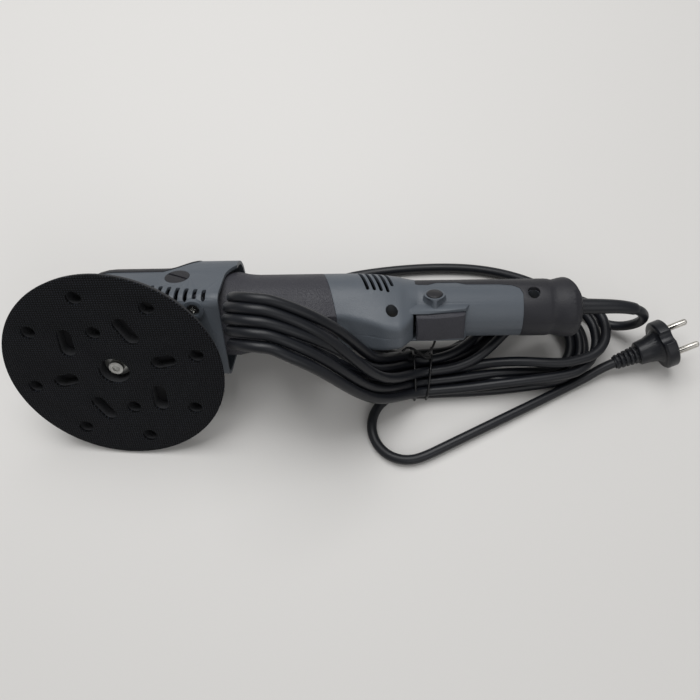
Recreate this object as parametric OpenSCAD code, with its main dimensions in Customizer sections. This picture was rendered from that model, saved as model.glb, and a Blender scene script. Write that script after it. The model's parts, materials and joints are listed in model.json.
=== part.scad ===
// Dual action polisher, lying on its side with its mains cord folded into a hank.
// Tool pieces are drawn in the tool's own axes: x runs back along the handle, y to the right hand
// and z away from the pad, from the point where the spindle axis crosses the handle axis.

/* [Placement] */
// Roll onto the right side, past lying flat
roll_deg = 34.3; // [30:0.1:38]
// Rise of the handle towards its rear
pitch_deg = 3.1; // [0:0.1:6]
// Shift that centres the tool on the origin, along X
centre_x = -122.77; // [-200:0.5:0]
// Shift that centres the tool on the origin, along Y
centre_y = 31.39; // [0:0.5:80]

/* [Pad] */
// Diameter of the hook face
pad_d = 150; // [130:1:170]
// Thickness of the hook fabric
hook_t = 2; // [1.5:0.1:3]
// Thickness of the foam
foam_t = 8; // [6:0.5:12]
// Thickness of the stiff backing plate
plate_t = 3; // [2.5:0.1:4]
// How far the foam's edge draws in towards the plate
foam_taper = 7; // [4:0.5:10]
// Diameter of a dust hole
dust_hole_d = 10; // [7:0.5:11]
// Pitch circle of the eight outer dust holes
outer_hole_pcd = 120; // [110:1:124]
// Pitch circle of the six middle dust holes
middle_hole_pcd = 80; // [76:1:84]
// Pitch circle of the eight inner dust holes
inner_hole_pcd = 65; // [58:1:68]
// Diameter of the recess for the pad screw
recess_d = 21; // [19:0.5:24]
// Angle of the hole pattern on the pad
pattern_deg = -102; // [-180:1:180]
// Diameter of the pad screw's thread
pad_screw_d = 6; // [5:0.5:7]

/* [Drive] */
// Diameter of the circle that the pad centre runs round
orbit_d = 15; // [8:0.5:16]
// Distance of the motor axis below the handle axis
motor_drop = 4; // [2:0.5:6]
// Teeth on the motor pinion
pinion_teeth = 10; // [9:1:11]
// Teeth on the ring gear
ring_teeth = 30; // [28:1:33]
// Tooth module at the large end
gear_module = 1.5; // [1.4:0.05:1.6]
// Length of the teeth
gear_face = 7; // [5:0.5:8]
// Diameter of the output spindle
spindle_d = 12; // [10:0.5:13]
// Outer diameter of the lower spindle bearing
lower_bearing_d = 32; // [28:1:35]
// Width of the lower spindle bearing
lower_bearing_w = 10; // [8:0.5:11]
// Outer diameter of the upper spindle bearing
upper_bearing_d = 16; // [15:0.5:18]
// Width of the upper spindle bearing
upper_bearing_w = 4.6; // [4:0.2:5]
// Outer diameter of the pad bearing
pad_bearing_d = 28; // [26:0.5:30]
// Width of the pad bearing
pad_bearing_w = 8.8; // [8:0.2:10]
// Outer radius of the counterweight
weight_r = 29; // [26:0.5:30]

/* [Head] */
// Wall of the head shell
head_wall = 2.6; // [2.2:0.1:3]
// Wall of the gear case round the gears
case_wall = 4.5; // [4:0.1:5.5]
// Height of the low nose above the handle axis
nose_top = 14.5; // [14:0.5:18]
// Height of the rear of the head above the handle axis
head_top = 30; // [29.5:0.5:34]
// Distance of the nose's centre ahead of the spindle
nose_lead = 10; // [6:0.5:16]
// Thickness of the rubber bumper
bumper_t = 1.5; // [1:0.1:1.8]
// Width of one air slot in the head
slot_w = 2.9; // [2:0.1:3.6]
// Spacing of the air slots in the head
slot_pitch = 6.3; // [5.5:0.1:6.6]
// Number of air slots on each side of the head
slot_count = 9; // [6:1:9]
// Diameter of the slotted socket plugs
plug_cap_d = 17.4; // [15:0.2:19]

/* [Motor] */
// Diameter of the stator
stator_d = 50; // [46:0.5:52]
// Length of the stator core
stator_len = 50; // [44:1:56]
// Diameter of the armature core
armature_d = 31; // [29:0.5:32]
// Diameter of the armature shaft
shaft_d = 10; // [8:0.5:11]
// Diameter of the commutator
commutator_d = 20; // [18:0.5:22]
// Outer diameter of the front armature bearing
front_bearing_d = 26; // [24:0.5:28]
// Outer diameter of the rear armature bearing
rear_bearing_d = 19; // [18:0.5:22]
// Outer diameter of the cooling fan
fan_d = 50; // [44:1:51]
// Number of fan blades
fan_blades = 9; // [7:1:11]
// Wall of the motor barrel
barrel_wall = 3; // [2.6:0.1:3.4]

/* [Handle] */
// Outer radius of the handle
handle_r = 20.3; // [19.5:0.1:22]
// Wall of the handle shells under the grip
handle_wall = 3; // [2.6:0.1:3.2]
// Thickness of the rubber grip
grip_t = 2.3; // [1.8:0.1:2.6]
// Length of the handle behind its shoulder
handle_len = 117; // [114:1:130]
// Depth of the chin ahead of the trigger, below the handle axis
chin_drop = 39; // [36:0.5:41]
// Slant of the joint between barrel and handle
joint_slant = 16; // [8:1:20]

/* [Controls] */
// Length of the trigger
trigger_len = 34; // [28:1:36]
// Half the width of the trigger
trigger_half_w = 10.5; // [9:0.5:11]
// Diameter of the lock button
button_d = 11.4; // [9:0.2:12]
// Diameter of the speed dial
dial_d = 22; // [20:0.5:24]
// Width of the speed dial
dial_w = 6; // [5:0.5:7]

/* [Cord and plug] */
// Diameter of the mains cord
cord_d = 7.4; // [6.5:0.1:8]
// Diameter of the cord sleeve where it leaves the handle
sleeve_d = 12.4; // [11:0.2:14]
// Diameter of the plug's front
plug_d = 37; // [34:0.5:39]
// Diameter of a plug pin
pin_d = 4.8; // [4:0.1:5]
// Length of a plug pin
pin_len = 19; // [17:0.5:20]
// Spacing of the plug pins
pin_spacing = 19; // [17:0.5:20]

/* [Hidden] */
$fn = 64;
grey = [0.40, 0.44, 0.47];
charcoal = [0.20, 0.20, 0.21];
black = [0.08, 0.08, 0.09];
steel = [0.66, 0.67, 0.69];
alloy = [0.72, 0.73, 0.74];
copper = [0.70, 0.40, 0.22];
brass = [0.78, 0.64, 0.32];
fit = 0.03;           // radial fit of a bearing or a shaft
seat = 0.1;           // clearance of a part in its seat
loose = 0.35;         // clearance of a part that moves past another
eps = 0.01;

// Bevel gears, apex where the motor axis crosses the spindle axis
pinion_r = gear_module * pinion_teeth / 2;
ring_r = gear_module * ring_teeth / 2;
cone_len = sqrt(pinion_r * pinion_r + ring_r * ring_r);
pinion_cone = atan2(pinion_r, ring_r);
tooth_add = 0.75 * gear_module;
tooth_ded = 1.15 * gear_module;
tooth_half = 0.19 * PI * gear_module;
flank_deg = 24;
ring_tip_r = cone_len * cos(pinion_cone) + tooth_ded;

// Spindle stack, downwards from the ring gear
ring_back_z = -motor_drop - pinion_r - 6;
bearing_top_z = ring_back_z - 4;
bearing_low_z = bearing_top_z - lower_bearing_w;
plate_flange_t = 3;
flange_top_z = bearing_low_z - 1.5;
flange_low_z = flange_top_z - plate_flange_t;
head_low_z = flange_low_z - 1;
weight_top_z = flange_low_z - 1.3;
spindle_low_z = weight_top_z - 0.2;
pad_seat_z = weight_top_z - 1.9;
weight_low_z = pad_seat_z - pad_bearing_w - 0.3;
hub_flange_t = 1.5;
hub_top_z = weight_low_z - 0.7;
plate_top_z = hub_top_z - hub_flange_t;
foam_top_z = plate_top_z - plate_t;
hook_top_z = foam_top_z - foam_t;
pad_face_z = hook_top_z - hook_t;
pad_y = orbit_d / 2;
pad_r = pad_d / 2;

// Gear case and head shell
cavity_r = ring_tip_r + 1.2;
case_r = cavity_r + case_wall;
cavity_top_z = -motor_drop + pinion_r + 1.9;
upper_bearing_z = cavity_top_z + 0.2;
case_top_z = upper_bearing_z + upper_bearing_w + 1.2;
head_half_w = case_r + 1.9 + head_wall;
nose_r = 16;
top_r = 22;
low_r = 8;
ramp_x0 = case_r - 2;
ramp_x1 = ramp_x0 + 20;
head_end_x = ramp_x1 + 30;
rear_edge_x = head_end_x - 6.5;
bumper_z = nose_top - nose_r;
boss_x = rear_edge_x - 17;
boss_y = head_half_w - 9;
boss_r = 7.2;
boss_low_z = head_low_z - 2;
plug_cap_x = ramp_x0 + 10;
plug_cap_z = bumper_z - 7;
plug_sink = head_wall - 1.2;
slot_x0 = boss_x + 7 - (slot_count - 1) * slot_pitch;

// Motor, backwards from the pinion
shaft_r = shaft_d / 2;
front_shaft_r = shaft_r - 1;
rear_shaft_r = shaft_r - 1.5;
front_bearing_x = ring_r + 10.5;
front_bearing_w = 9;
case_rear_x = front_bearing_x + front_bearing_w + 8;
fan_x = case_rear_x + 3;
fan_w = 13;
coil_over = 8;
stator_x = fan_x + fan_w + 4 + coil_over;
stator_end_x = stator_x + stator_len;
stator_r = stator_d / 2;
armature_r = armature_d / 2;
barrel_in_r = stator_r + seat;
barrel_r = barrel_in_r + barrel_wall;
flare_r = barrel_r + 2.4;
commutator_x = stator_end_x + coil_over + 5;
commutator_len = 13;
commutator_r = commutator_d / 2;
brush_x = commutator_x + commutator_len / 2;
carrier_x = commutator_x + commutator_len + 2.5;
carrier_t = 4;
rear_bearing_x = carrier_x + carrier_t + 0.5;
rear_bearing_w = 7;
joint_x = stator_end_x + 15;
keel_z = -motor_drop - barrel_r + 1;
keel_half_w = barrel_r / 2;
neck_r = barrel_r - barrel_wall - seat;
neck_end_x = joint_x + 14;
coil_in_r = armature_r + 1.3;
coil_out_r = armature_r + 6.8;
coil_half_deg = 27;
brush_half_x = 3.45;
brush_half_z = 4.45;
box_wall = 0.8;
box_in_y = commutator_r + 1.6;
box_out_y = neck_r - 4.4;

// Handle shells and grip, backwards from the joint
handle_x = joint_x + 62;
handle_end_x = handle_x + handle_len;
core_r = handle_r - grip_t;
inner_r = core_r - handle_wall;
panel_end_x = handle_end_x - 41;
cap_in_x = handle_end_x - 21;
chin_x = handle_x - 13;
chin_r = 11;
screw_a = [chin_x - 3, -chin_drop + chin_r + 1];
screw_b = [panel_end_x + 7.5, -9];
screw_r = 1.7;
screw_head_r = 3.4;
screw_boss_r = 5.2;
screw_sink_r = 4.2;
vent_x0 = joint_x + 25;
vent_pitch = 4.7;
vent_w = 2.5;

// Trigger, lock button, switch and dial
trigger_x = handle_x + 1;
trigger_low_z = -handle_r - 8.2;
trigger_rise = 3.5;
trigger_swing = 2.2;  // room ahead of the trigger, whose front edge swings forward
guard_z = trigger_low_z + 3.4;
guard_half_w = trigger_half_w + 0.4 + 2.4;
pivot_x = trigger_x + trigger_len - 4;
pivot_z = -inner_r + 1;
pivot_r = 1.5;
web_half_w = 4;
pad_top_z = trigger_low_z + 7;
button_x = handle_x + 14;
button_z = -handle_r + 7.5;
button_r = button_d / 2;
button_ring_r = button_r + 1.6;
button_face_y = -handle_r + 0.4;
button_proud = 1;
button_travel = 3;
switch_low_z = button_z + 7.8;
switch_half_w = 8;
switch_top_z = sqrt(inner_r * inner_r - switch_half_w * switch_half_w) - 0.3;
switch_x = handle_x + 4;
dial_r = dial_d / 2;
clamp_x = panel_end_x - 4.5;
dial_x = clamp_x - 3.5 - dial_r;
switch_len = dial_x - dial_r - 4 - switch_x;
dial_z = handle_r + 1.8 - dial_r;
axle_r = 1.2;
arm_gap = 0.8;
arm_t = 1.8;
arm_top_z = sqrt(pow(inner_r, 2) - pow(dial_w / 2 + arm_gap + arm_t, 2)) - 0.2;
board_z = -5;
board_t = 1.6;
board_half_w = sqrt(inner_r * inner_r - board_z * board_z) - 0.2;

// Edge of the foam, from the hook face up to the plate, as (radius, z)
foam_edge = [[pad_r - 0.6, hook_top_z], [pad_r - 0.9, hook_top_z + foam_t * 0.3],
  [pad_r - foam_taper * 0.4, hook_top_z + foam_t * 0.7], [pad_r - foam_taper, foam_top_z]];

// Height of the spindle point over the table, with the pad's edge or the head's side on it
rim_share = sqrt(pow(sin(pitch_deg), 2) + pow(cos(pitch_deg) * cos(roll_deg), 2));
rim_lift = max([for (p = concat(foam_edge, [[pad_r, hook_top_z - 0.3]]))
  p.x * rim_share + cos(pitch_deg) * (pad_y * cos(roll_deg) + p.y * sin(roll_deg))]);
side_lift = cos(pitch_deg) * ((head_half_w - top_r) * cos(roll_deg) + (head_top - top_r) * sin(roll_deg)
  + top_r + 0.34) - sin(pitch_deg) * ramp_x1;
lift = max(rim_lift, side_lift);

// Cord on the table, as points measured from the foot of the spindle point
cord_r = cord_d / 2;
sleeve_r = sleeve_d / 2;
sleeve_knots = 4;
tail_points = [
  [344.1, 0, 52.9], [355.1, -0.1, 52.5], [366.6, -0.3, 49.2], [375.5, -0.6, 40.5],
  [378.9, -0.6, 28.5], [375.5, 0.2, 16.4], [366.6, 2.2, 7.6], [355.6, 6.8, 4],
  [345.1, 13.8, 3.7], [335.1, 22.2, 3.7], [324.1, 30.6, 3.7], [311.6, 38.2, 3.7],
  [297.1, 44.6, 3.7], [279.6, 49.8, 3.7], [259.6, 53.2, 3.7], [236.7, 54.2, 3.7],
  [213.7, 53.2, 3.7], [191.7, 51, 3.7], [171.7, 48, 3.7], [153.2, 44.2, 3.7],
  [139.2, 36.6, 3.7], [130.8, 25.2, 3.7], [129.8, 11.6, 3.7], [136.7, -1, 3.7],
  [148.7, -9.4, 3.7], [164.7, -14.8, 5], [182.7, -20, 8.6], [200.7, -23.8, 11.6]];
lead_points = [
  [205.7, -53.5, 4.3], [196.2, -52.6, 3.7], [185.8, -56.9, 3.7], [178.2, -65.2, 3.7],
  [174.8, -75.9, 3.7], [176.2, -87.1, 3.7], [182.2, -96.6, 3.7], [191.8, -102.6, 3.7],
  [202.9, -104.1, 3.7], [213.2, -101.4, 3.7], [226.7, -94.8, 3.7], [241.7, -87.4, 3.7],
  [256.6, -80, 3.7], [271.6, -72.6, 3.7], [286.6, -65.2, 3.7], [301.6, -57.8, 3.7],
  [316.6, -50.3, 3.7], [330.6, -43.3, 4.4], [341.6, -37.8, 6.4]];

// Middle line of the hank from its raised end to its end on the table:
// x, y, z, tilt, half width and top over the line
hank_spine = [
  [82.7, -30.2, 74.4, 55.7, 35.5, 3.7],
  [100.7, -31, 75.2, 55, 34.6, 11.1],
  [118.7, -33.8, 73.4, 54, 35.5, 11.1],
  [134.7, -38.8, 68, 52.5, 32.5, 11.1],
  [148.7, -45.2, 59.5, 50, 25.5, 11.1],
  [162.7, -53.4, 48, 43, 20, 11.1],
  [180.2, -50.9, 25, 22, 18.6, 11.1],
  [202.7, -38.9, 5.6, 0, 18.5, 11.1],
  [222.7, -37.4, 4, 0, 18.5, 11.1],
  [242.7, -34.4, 3.8, 0, 20.8, 13.4],
  [262.6, -27.4, 3.7, 0, 26.4, 17.4],
  [284.6, -18.4, 3.7, 0, 32.6, 18.5],
  [308.6, -11.9, 3.7, 0, 35.5, 18.5]];
hank_fold_r = 31.8;
tie_x = [206.6, 218.6];
tie_y = -38.2;

// Plug, lying on the edge of its front with the cord behind it
plug_yaw = 20;
plug_tilt = 12;
plug_r = plug_d / 2;
plug_t = 9;
pin_root_r = pin_d / 2 - 0.25;  // moulded-in root, thinner than the pin
neck_len = 25;
plug_len = 43;
plug_front = [centre_x + 399.6, centre_y - 14.4, plug_r * cos(plug_tilt) + plug_t * sin(plug_tilt)];

// Where a point of the tool, of the table and of the plug's axis lies in the part's own frame
function lay_point(p) =
  let (a = -90 - roll_deg)
  let (y = p.y * cos(a) - p.z * sin(a))
  let (z = p.y * sin(a) + p.z * cos(a))
  [centre_x + p.x * cos(pitch_deg) - z * sin(pitch_deg), centre_y + y,
    lift + p.x * sin(pitch_deg) + z * cos(pitch_deg)];

function on_table(p) = [centre_x + p.x, centre_y + p.y, p.z];

function plug_point(x) =
  plug_front + x * [cos(plug_yaw) * cos(plug_tilt), sin(plug_yaw) * cos(plug_tilt), sin(plug_tilt)];

// Point and direction at place u of a smooth line through a row of knots
function unit(v) = v / norm(v);

function line_at(knots, u) =
  let (last = len(knots) - 1)
  let (i = min(floor(u), last - 1))
  let (s = u - i)
  let (b = knots[i])
  let (c = knots[i + 1])
  let (a = i > 0 ? knots[i - 1] : 2 * b - c)
  let (d = i + 2 > last ? 2 * c - b : knots[i + 2])
  [(pow(1 - s, 3) * a + (3 * pow(s, 3) - 6 * s * s + 4) * b
    + (1 + 3 * s + 3 * s * s - 3 * pow(s, 3)) * c + pow(s, 3) * d) / 6,
    unit(-pow(1 - s, 2) * a + (3 * s * s - 4 * s) * b + (1 + 2 * s - 3 * s * s) * c + s * s * d)];

// Sideways direction carried along the line without twisting
function carried(line, i, side) =
  i == len(line) ? [] :
  let (n = unit(side - (side * line[i][1]) * line[i][1]))
  concat([n], carried(line, i + 1, n));

function tube_rings(line, radii, sides) =
  let (n = carried(line, 0, cross(line[0][1], [0, 0, 1])))
  [for (i = [0 : len(line) - 1]) [for (k = [0 : sides - 1])
    line[i][0] + radii[i] * (cos(360 * k / sides) * n[i] + sin(360 * k / sides) * cross(line[i][1], n[i]))]];

function tail_knots() =
  concat([lay_point([handle_end_x - 6, 0, 0]), lay_point([handle_end_x + 6, 0, 0])],
    [for (p = tail_points) on_table(p)]);

function lead_knots() =
  concat([for (p = lead_points) on_table(p)], [plug_point(-plug_len - 10), plug_point(-plug_len)]);

// Cross-section of the hank at a station, some way on along its line
function hank_ring(i, reach, half, low, top) =
  let (row = hank_spine[i])
  let (before = hank_spine[max(i - 1, 0)])
  let (after = hank_spine[min(i + 1, len(hank_spine) - 1)])
  let (t = unit([for (k = [0 : 2]) after[k] - before[k]]))
  let (tilted = [0, -cos(row[3]), -sin(row[3])])
  let (w = unit(tilted - (tilted * t) * t))
  let (h = cross(w, t))
  let (mid = on_table([row[0], row[1], row[2]]) + reach * t)
  let (r = 0.7 * cord_r)
  [for (q = [[-half + r, low], [-half, low + r], [-half, top - r], [-half + r, top],
    [half - r, top], [half, top - r], [half, low + r], [half - r, low]]) mid + q.x * w + q.y * h];

// Lays the tool on its side on the table
module lay() {
  translate([centre_x, centre_y, lift])
    rotate([0, -pitch_deg, 0])
      rotate([-90 - roll_deg, 0, 0])
        children();
}

// Sets the plug down, with its pins along x and its front face at x = 0
module plug_place() {
  translate(plug_front)
    rotate([0, -plug_tilt, plug_yaw])
      children();
}

// Extrudes a (y, z) outline along x
module along_x(x0, x1) {
  translate([x0, 0, 0])
    rotate([90, 0, 90])
      linear_extrude(x1 - x0)
        children();
}

// Extrudes an (x, z) outline along y
module along_y(y0, y1) {
  translate([0, y1, 0])
    rotate([90, 0, 0])
      linear_extrude(y1 - y0)
        children();
}

// Turns (radius, x) points about an axis that runs along x at height z
module turned_x(points, z = 0) {
  translate([0, 0, z])
    rotate([0, 90, 0])
      rotate_extrude()
        polygon(points);
}

// Turns (radius, z) points about the spindle direction at (0, y)
module turned_z(points, y = 0) {
  translate([0, y, 0])
    rotate_extrude()
      polygon(points);
}

// Round bar along x, y or z between two stations
module bar_x(r, x0, x1, y = 0, z = 0) {
  translate([x0, y, z])
    rotate([0, 90, 0])
      cylinder(r = r, h = x1 - x0);
}
module bar_y(r, y0, y1, x = 0, z = 0) {
  translate([x, y0, z])
    rotate([-90, 0, 0])
      cylinder(r = r, h = y1 - y0);
}
module bar_z(r, z0, z1, x = 0, y = 0) {
  translate([x, y, z0])
    cylinder(r = r, h = z1 - z0);
}

// Block between two corners
module block(low, high) {
  translate(low)
    cube(high - low);
}

// Everything on one side of the parting plane of the handle
module side(left) {
  block([-100, left ? -200 : 0, -200], [600, left ? 0 : 200, 200]);
}

// Rolling bearing: two rings with a shallow shield between them
module bearing_profile(r_in, r_out, a, b) {
  rib = (r_out - r_in) * 0.28;
  dish = 0.6;
  polygon([[r_in, a], [r_in + rib, a], [r_in + rib, a + dish], [r_out - rib, a + dish],
    [r_out - rib, a], [r_out, a], [r_out, b], [r_out - rib, b], [r_out - rib, b - dish],
    [r_in + rib, b - dish], [r_in + rib, b], [r_in, b]]);
}

// Straight bevel gear with its apex at the origin and its axis along z
function bevel_point(cone, dist, height, half, turn) =
  let (r = dist * sin(cone) + height * cos(cone))
  let (a = turn + atan2(half, r))
  [r * cos(a), r * sin(a), dist * cos(cone) - height * sin(cone)];
function bevel_loop(teeth, cone, dist) =
  let (k = dist / cone_len)
  let (tip_half = k * (tooth_half - tooth_add * tan(flank_deg)))
  let (root_half = k * (tooth_half + tooth_ded * tan(flank_deg)))
  [for (i = [0 : teeth - 1]) for (j = [0 : 3])
    bevel_point(cone, dist, k * (j == 1 || j == 2 ? tooth_add : -tooth_ded),
      (j < 2 ? -1 : 1) * (j == 1 || j == 2 ? tip_half : root_half), (i + 0.5) * 360 / teeth)];
module bevel_gear(teeth, cone, near_z, far_z) {
  count = 4 * teeth;
  near = bevel_loop(teeth, cone, cone_len - gear_face);
  far = bevel_loop(teeth, cone, cone_len);
  ends = [[0, 0, near_z], [0, 0, far_z]];
  wall = [for (i = [0 : count - 1])
    let (n = (i + 1) % count)
    each [[n, i, count + n], [count + n, i, count + i]]];
  near_cap = [for (i = [0 : count - 1]) [2 * count, i, (i + 1) % count]];
  far_cap = [for (i = [0 : count - 1]) [2 * count + 1, count + (i + 1) % count, count + i]];
  polyhedron(concat(near, far, ends), concat(wall, near_cap, far_cap));
}

// Half outline of the head, from the middle of its top round to the middle of its underside
function head_half(grow, top, edge_r) =
  let (w = head_half_w + grow)
  let (r = edge_r + grow)
  let (q = low_r + grow)
  let (low = head_low_z - grow)
  concat([[0, top + grow]],
    [for (a = [90 : -10 : 0]) [w - r + r * cos(a), top + grow - r + r * sin(a)]],
    [for (a = [0 : -18 : -90]) [w - q + q * cos(a), low + q + q * sin(a)]],
    [[0, low]]);

// Height of the head and its edge radius at a station, with a smooth ramp up from the nose
function ramp(x) =
  let (t = min(1, max(0, (x - ramp_x0) / (ramp_x1 - ramp_x0))))
  t * t * (3 - 2 * t);
function head_station(grow, x) =
  head_half(grow, nose_top + (head_top - nose_top) * ramp(x), nose_r + (top_r - nose_r) * ramp(x));

// Solid form of the head: up the left side, round the nose and back along the right side
module head_form(grow, end_x) {
  ahead = [for (i = [0 : 10]) ramp_x1 - i * (ramp_x1 - ramp_x0) / 10];
  left = [for (x = concat([end_x], ahead)) [for (p = head_station(grow, x)) [x, -p.x, p.y]]];
  nose = [for (a = [-90 : 10 : 90]) [for (p = head_half(grow, nose_top, nose_r))
    [-nose_lead - p.x * cos(a), p.x * sin(a), p.y]]];
  right = [for (i = [len(left) - 1 : -1 : 0]) [for (p = left[i]) [p.x, -p.y, p.z]]];
  rows = concat(left, nose, right);
  count = len(rows[0]);
  last = len(rows) - 1;
  hub = count * (last + 1);
  skin = [for (i = [0 : last - 1]) for (k = [0 : count - 2])
    let (p = i * count + k)
    each [[p, p + 1, p + count], [p + 1, p + count + 1, p + count]]];
  back = [for (k = [0 : count - 2]) each [[hub, k + 1, k], [hub, last * count + k, last * count + k + 1]]];
  polyhedron(concat([for (row = rows) each row], [[end_x, 0, 0]]), concat(skin, back));
}

// Zone of the rubber bumper: over the nose, up the ramp
module bumper_zone(grow) {
  along_y(-100, 100)
    polygon([[-100, bumper_z - grow], [ramp_x0 - 2, bumper_z - grow], [ramp_x1 + grow, nose_top],
      [ramp_x1 + 6 + grow, head_top + 20], [-100, head_top + 20]]);
}

// Air slots through both sides of the head, stepping down towards the rear
module head_slots() {
  for (i = [0 : slot_count - 1]) {
    top = plug_cap_z - plug_cap_d / 2 - 2.2 - 1.1 * i;
    low = head_low_z + 2.6;
    x = slot_x0 + i * slot_pitch;
    for (s = [-1, 1])
      translate([0, s * (head_half_w - 3), 0])
        along_y(-6, 6) {
          translate([x - slot_w / 2, low])
            square([slot_w, top - low]);
          translate([x, top])
            circle(slot_w / 2);
          translate([x, low])
            circle(slot_w / 2);
        }
  }
}

module head_shell() {
  color(grey)
    lay()
      difference() {
        union() {
          difference() {
            head_form(0, head_end_x);
            difference() {
              bumper_zone(seat);
              head_form(-bumper_t - seat, head_end_x + 1);
            }
            head_form(-head_wall, head_end_x + 1);
          }
          for (s = [-1, 1])
            bar_z(boss_r, boss_low_z, head_low_z + 8, boss_x, s * boss_y);
        }
        bar_y(20, -100, 100, rear_edge_x + 20, bumper_z - 6.5);
        block([rear_edge_x, -100, -100], [rear_edge_x + 60, 100, bumper_z - 6.5]);
        bar_z(case_r + 0.5, head_low_z - 5, head_low_z + 5);
        bar_x(flare_r + loose, case_rear_x, head_end_x + 10, 0, -motor_drop);
        for (s = [-1, 1]) {
          bar_z(4.5, boss_low_z - 1, boss_low_z + 3, boss_x, s * boss_y);
          bar_z(screw_r + seat, boss_low_z, head_low_z + 20, boss_x, s * boss_y);
        }
        bar_y(plug_cap_d / 2 - 2, -100, 100, plug_cap_x, plug_cap_z);
        for (y = [-head_half_w - 8, head_half_w - plug_sink])
          bar_y(plug_cap_d / 2 + seat, y, y + 8 + plug_sink, plug_cap_x, plug_cap_z);
        head_slots();
      }
}

module head_bumper() {
  color(black)
    lay()
      intersection() {
        difference() {
          head_form(0.4, head_end_x);
          head_form(-bumper_t, head_end_x + 1);
        }
        bumper_zone(0);
      }
}

module socket_plugs() {
  color(charcoal)
    lay()
      for (s = [-1, 1])
        difference() {
          union() {
            translate([plug_cap_x, s * (head_half_w - plug_sink), plug_cap_z])
              rotate([-90 * s, 0, 0])
                rotate_extrude()
                  polygon([[0, -head_wall], [plug_cap_d / 2 - 2 - seat, -head_wall],
                    [plug_cap_d / 2 - 2 - seat, 0], [plug_cap_d / 2, 0], [plug_cap_d / 2, plug_sink],
                    [plug_cap_d / 2 - 1, plug_sink + 0.3], [0, plug_sink + 0.4]]);
          }
          translate([plug_cap_x, s * (head_half_w + 0.6), plug_cap_z])
            rotate([0, 55, 0])
              cube([2, 2.4, plug_cap_d + 2], center = true);
        }
}

module shell_screws() {
  color(steel)
    lay()
      for (s = [-1, 1])
        difference() {
          union() {
            bar_z(4, boss_low_z + 1, boss_low_z + 3, boss_x, s * boss_y);
            bar_z(screw_r, boss_low_z + 2.5, head_low_z + 14, boss_x, s * boss_y);
          }
          for (a = [0, 90])
            translate([boss_x, s * boss_y, boss_low_z + 1])
              rotate([0, 0, a])
                cube([4.5, 0.9, 2], center = true);
        }
}

module gear_case() {
  color(alloy)
    lay()
      difference() {
        union() {
          turned_z([[0, flange_top_z], [case_r, flange_top_z], [case_r, -2], [case_r - 7, case_top_z - 3],
            [upper_bearing_d / 2 + 3, case_top_z], [0, case_top_z]]);
          intersection() {
            bar_x(front_bearing_d / 2 + 5, 0, case_rear_x, 0, -motor_drop);
            block([-1, -100, -100], [case_rear_x + 1, 100, nose_top - head_wall - 0.5]);
          }
          bar_x(barrel_in_r - 1, case_rear_x - 6, case_rear_x, 0, -motor_drop);
        }
        bar_z(cavity_r, flange_top_z - 1, cavity_top_z);
        bar_z(upper_bearing_d / 2 + fit, cavity_top_z - 1, upper_bearing_z + upper_bearing_w);
        bar_x(pinion_r + 2, 0, front_bearing_x, 0, -motor_drop);
        bar_x(front_bearing_d / 2 + fit, front_bearing_x, case_rear_x + 1, 0, -motor_drop);
        for (a = [45 : 90 : 359])
          rotate([0, 0, a])
            bar_z(1.5, flange_top_z - 1, flange_top_z + 9, case_r - 2.4);
      }
}

module bearing_plate() {
  color(alloy)
    lay()
      difference() {
        turned_z([[lower_bearing_d / 2 - 4, flange_low_z], [case_r, flange_low_z], [case_r, flange_top_z],
          [cavity_r - seat, flange_top_z], [cavity_r - seat, bearing_top_z - 1],
          [lower_bearing_d / 2 + fit, bearing_top_z - 1], [lower_bearing_d / 2 + fit, bearing_low_z],
          [lower_bearing_d / 2 - 4, bearing_low_z]]);
        for (a = [45 : 90 : 359])
          rotate([0, 0, a])
            bar_z(1.7, flange_low_z - 1, flange_top_z + 1, case_r - 2.4);
      }
}

module plate_screws() {
  color(steel)
    lay()
      for (a = [45 : 90 : 359])
        rotate([0, 0, a]) {
          bar_z(2.2, flange_low_z - 0.9, flange_low_z, case_r - 2.4);
          bar_z(1.45, flange_low_z, flange_top_z + 8, case_r - 2.4);
        }
}

module lower_bearing() {
  color(steel)
    lay()
      rotate_extrude()
        bearing_profile(spindle_d / 2 + fit, lower_bearing_d / 2, bearing_low_z, bearing_top_z);
}

module upper_bearing() {
  color(steel)
    lay()
      rotate_extrude()
        bearing_profile(spindle_d / 2 - 1 + fit, upper_bearing_d / 2, upper_bearing_z,
          upper_bearing_z + upper_bearing_w - 0.1);
}

module ring_gear() {
  color(steel)
    lay()
      difference() {
        union() {
          translate([0, 0, -motor_drop])
            mirror([0, 0, 1])
              bevel_gear(ring_teeth, 90 - pinion_cone, pinion_r * 0.75 + 1, pinion_r + 6);
          bar_z(spindle_d / 2 + 4, bearing_top_z + 0.1, ring_back_z + 3);
        }
        bar_z(spindle_d / 2 + fit, bearing_top_z - 1, 0);
      }
}

module spindle_shaft() {
  color(steel)
    lay()
      turned_z([[0, spindle_low_z], [spindle_d / 2, spindle_low_z], [spindle_d / 2, ring_back_z + 6],
        [spindle_d / 2 - 1, ring_back_z + 7], [spindle_d / 2 - 1, upper_bearing_z + upper_bearing_w - 0.6],
        [0, upper_bearing_z + upper_bearing_w - 0.6]]);
}

module counterweight() {
  color(charcoal)
    lay()
      difference() {
        union() {
          bar_z(pad_bearing_d / 2 + 3, weight_low_z, weight_top_z, 0, pad_y);
          intersection() {
            bar_z(weight_r, weight_low_z + 2, weight_top_z);
            block([-100, -100, -100], [100, -2, 100]);
          }
          bar_z(lower_bearing_d / 2 - 5, weight_top_z - 2, bearing_low_z - 0.2);
        }
        bar_z(pad_bearing_d / 2 + fit, weight_low_z - 1, pad_seat_z, 0, pad_y);
        bar_z(spindle_d / 2 + fit, spindle_low_z - 0.1, bearing_low_z + 1);
      }
}

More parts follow.
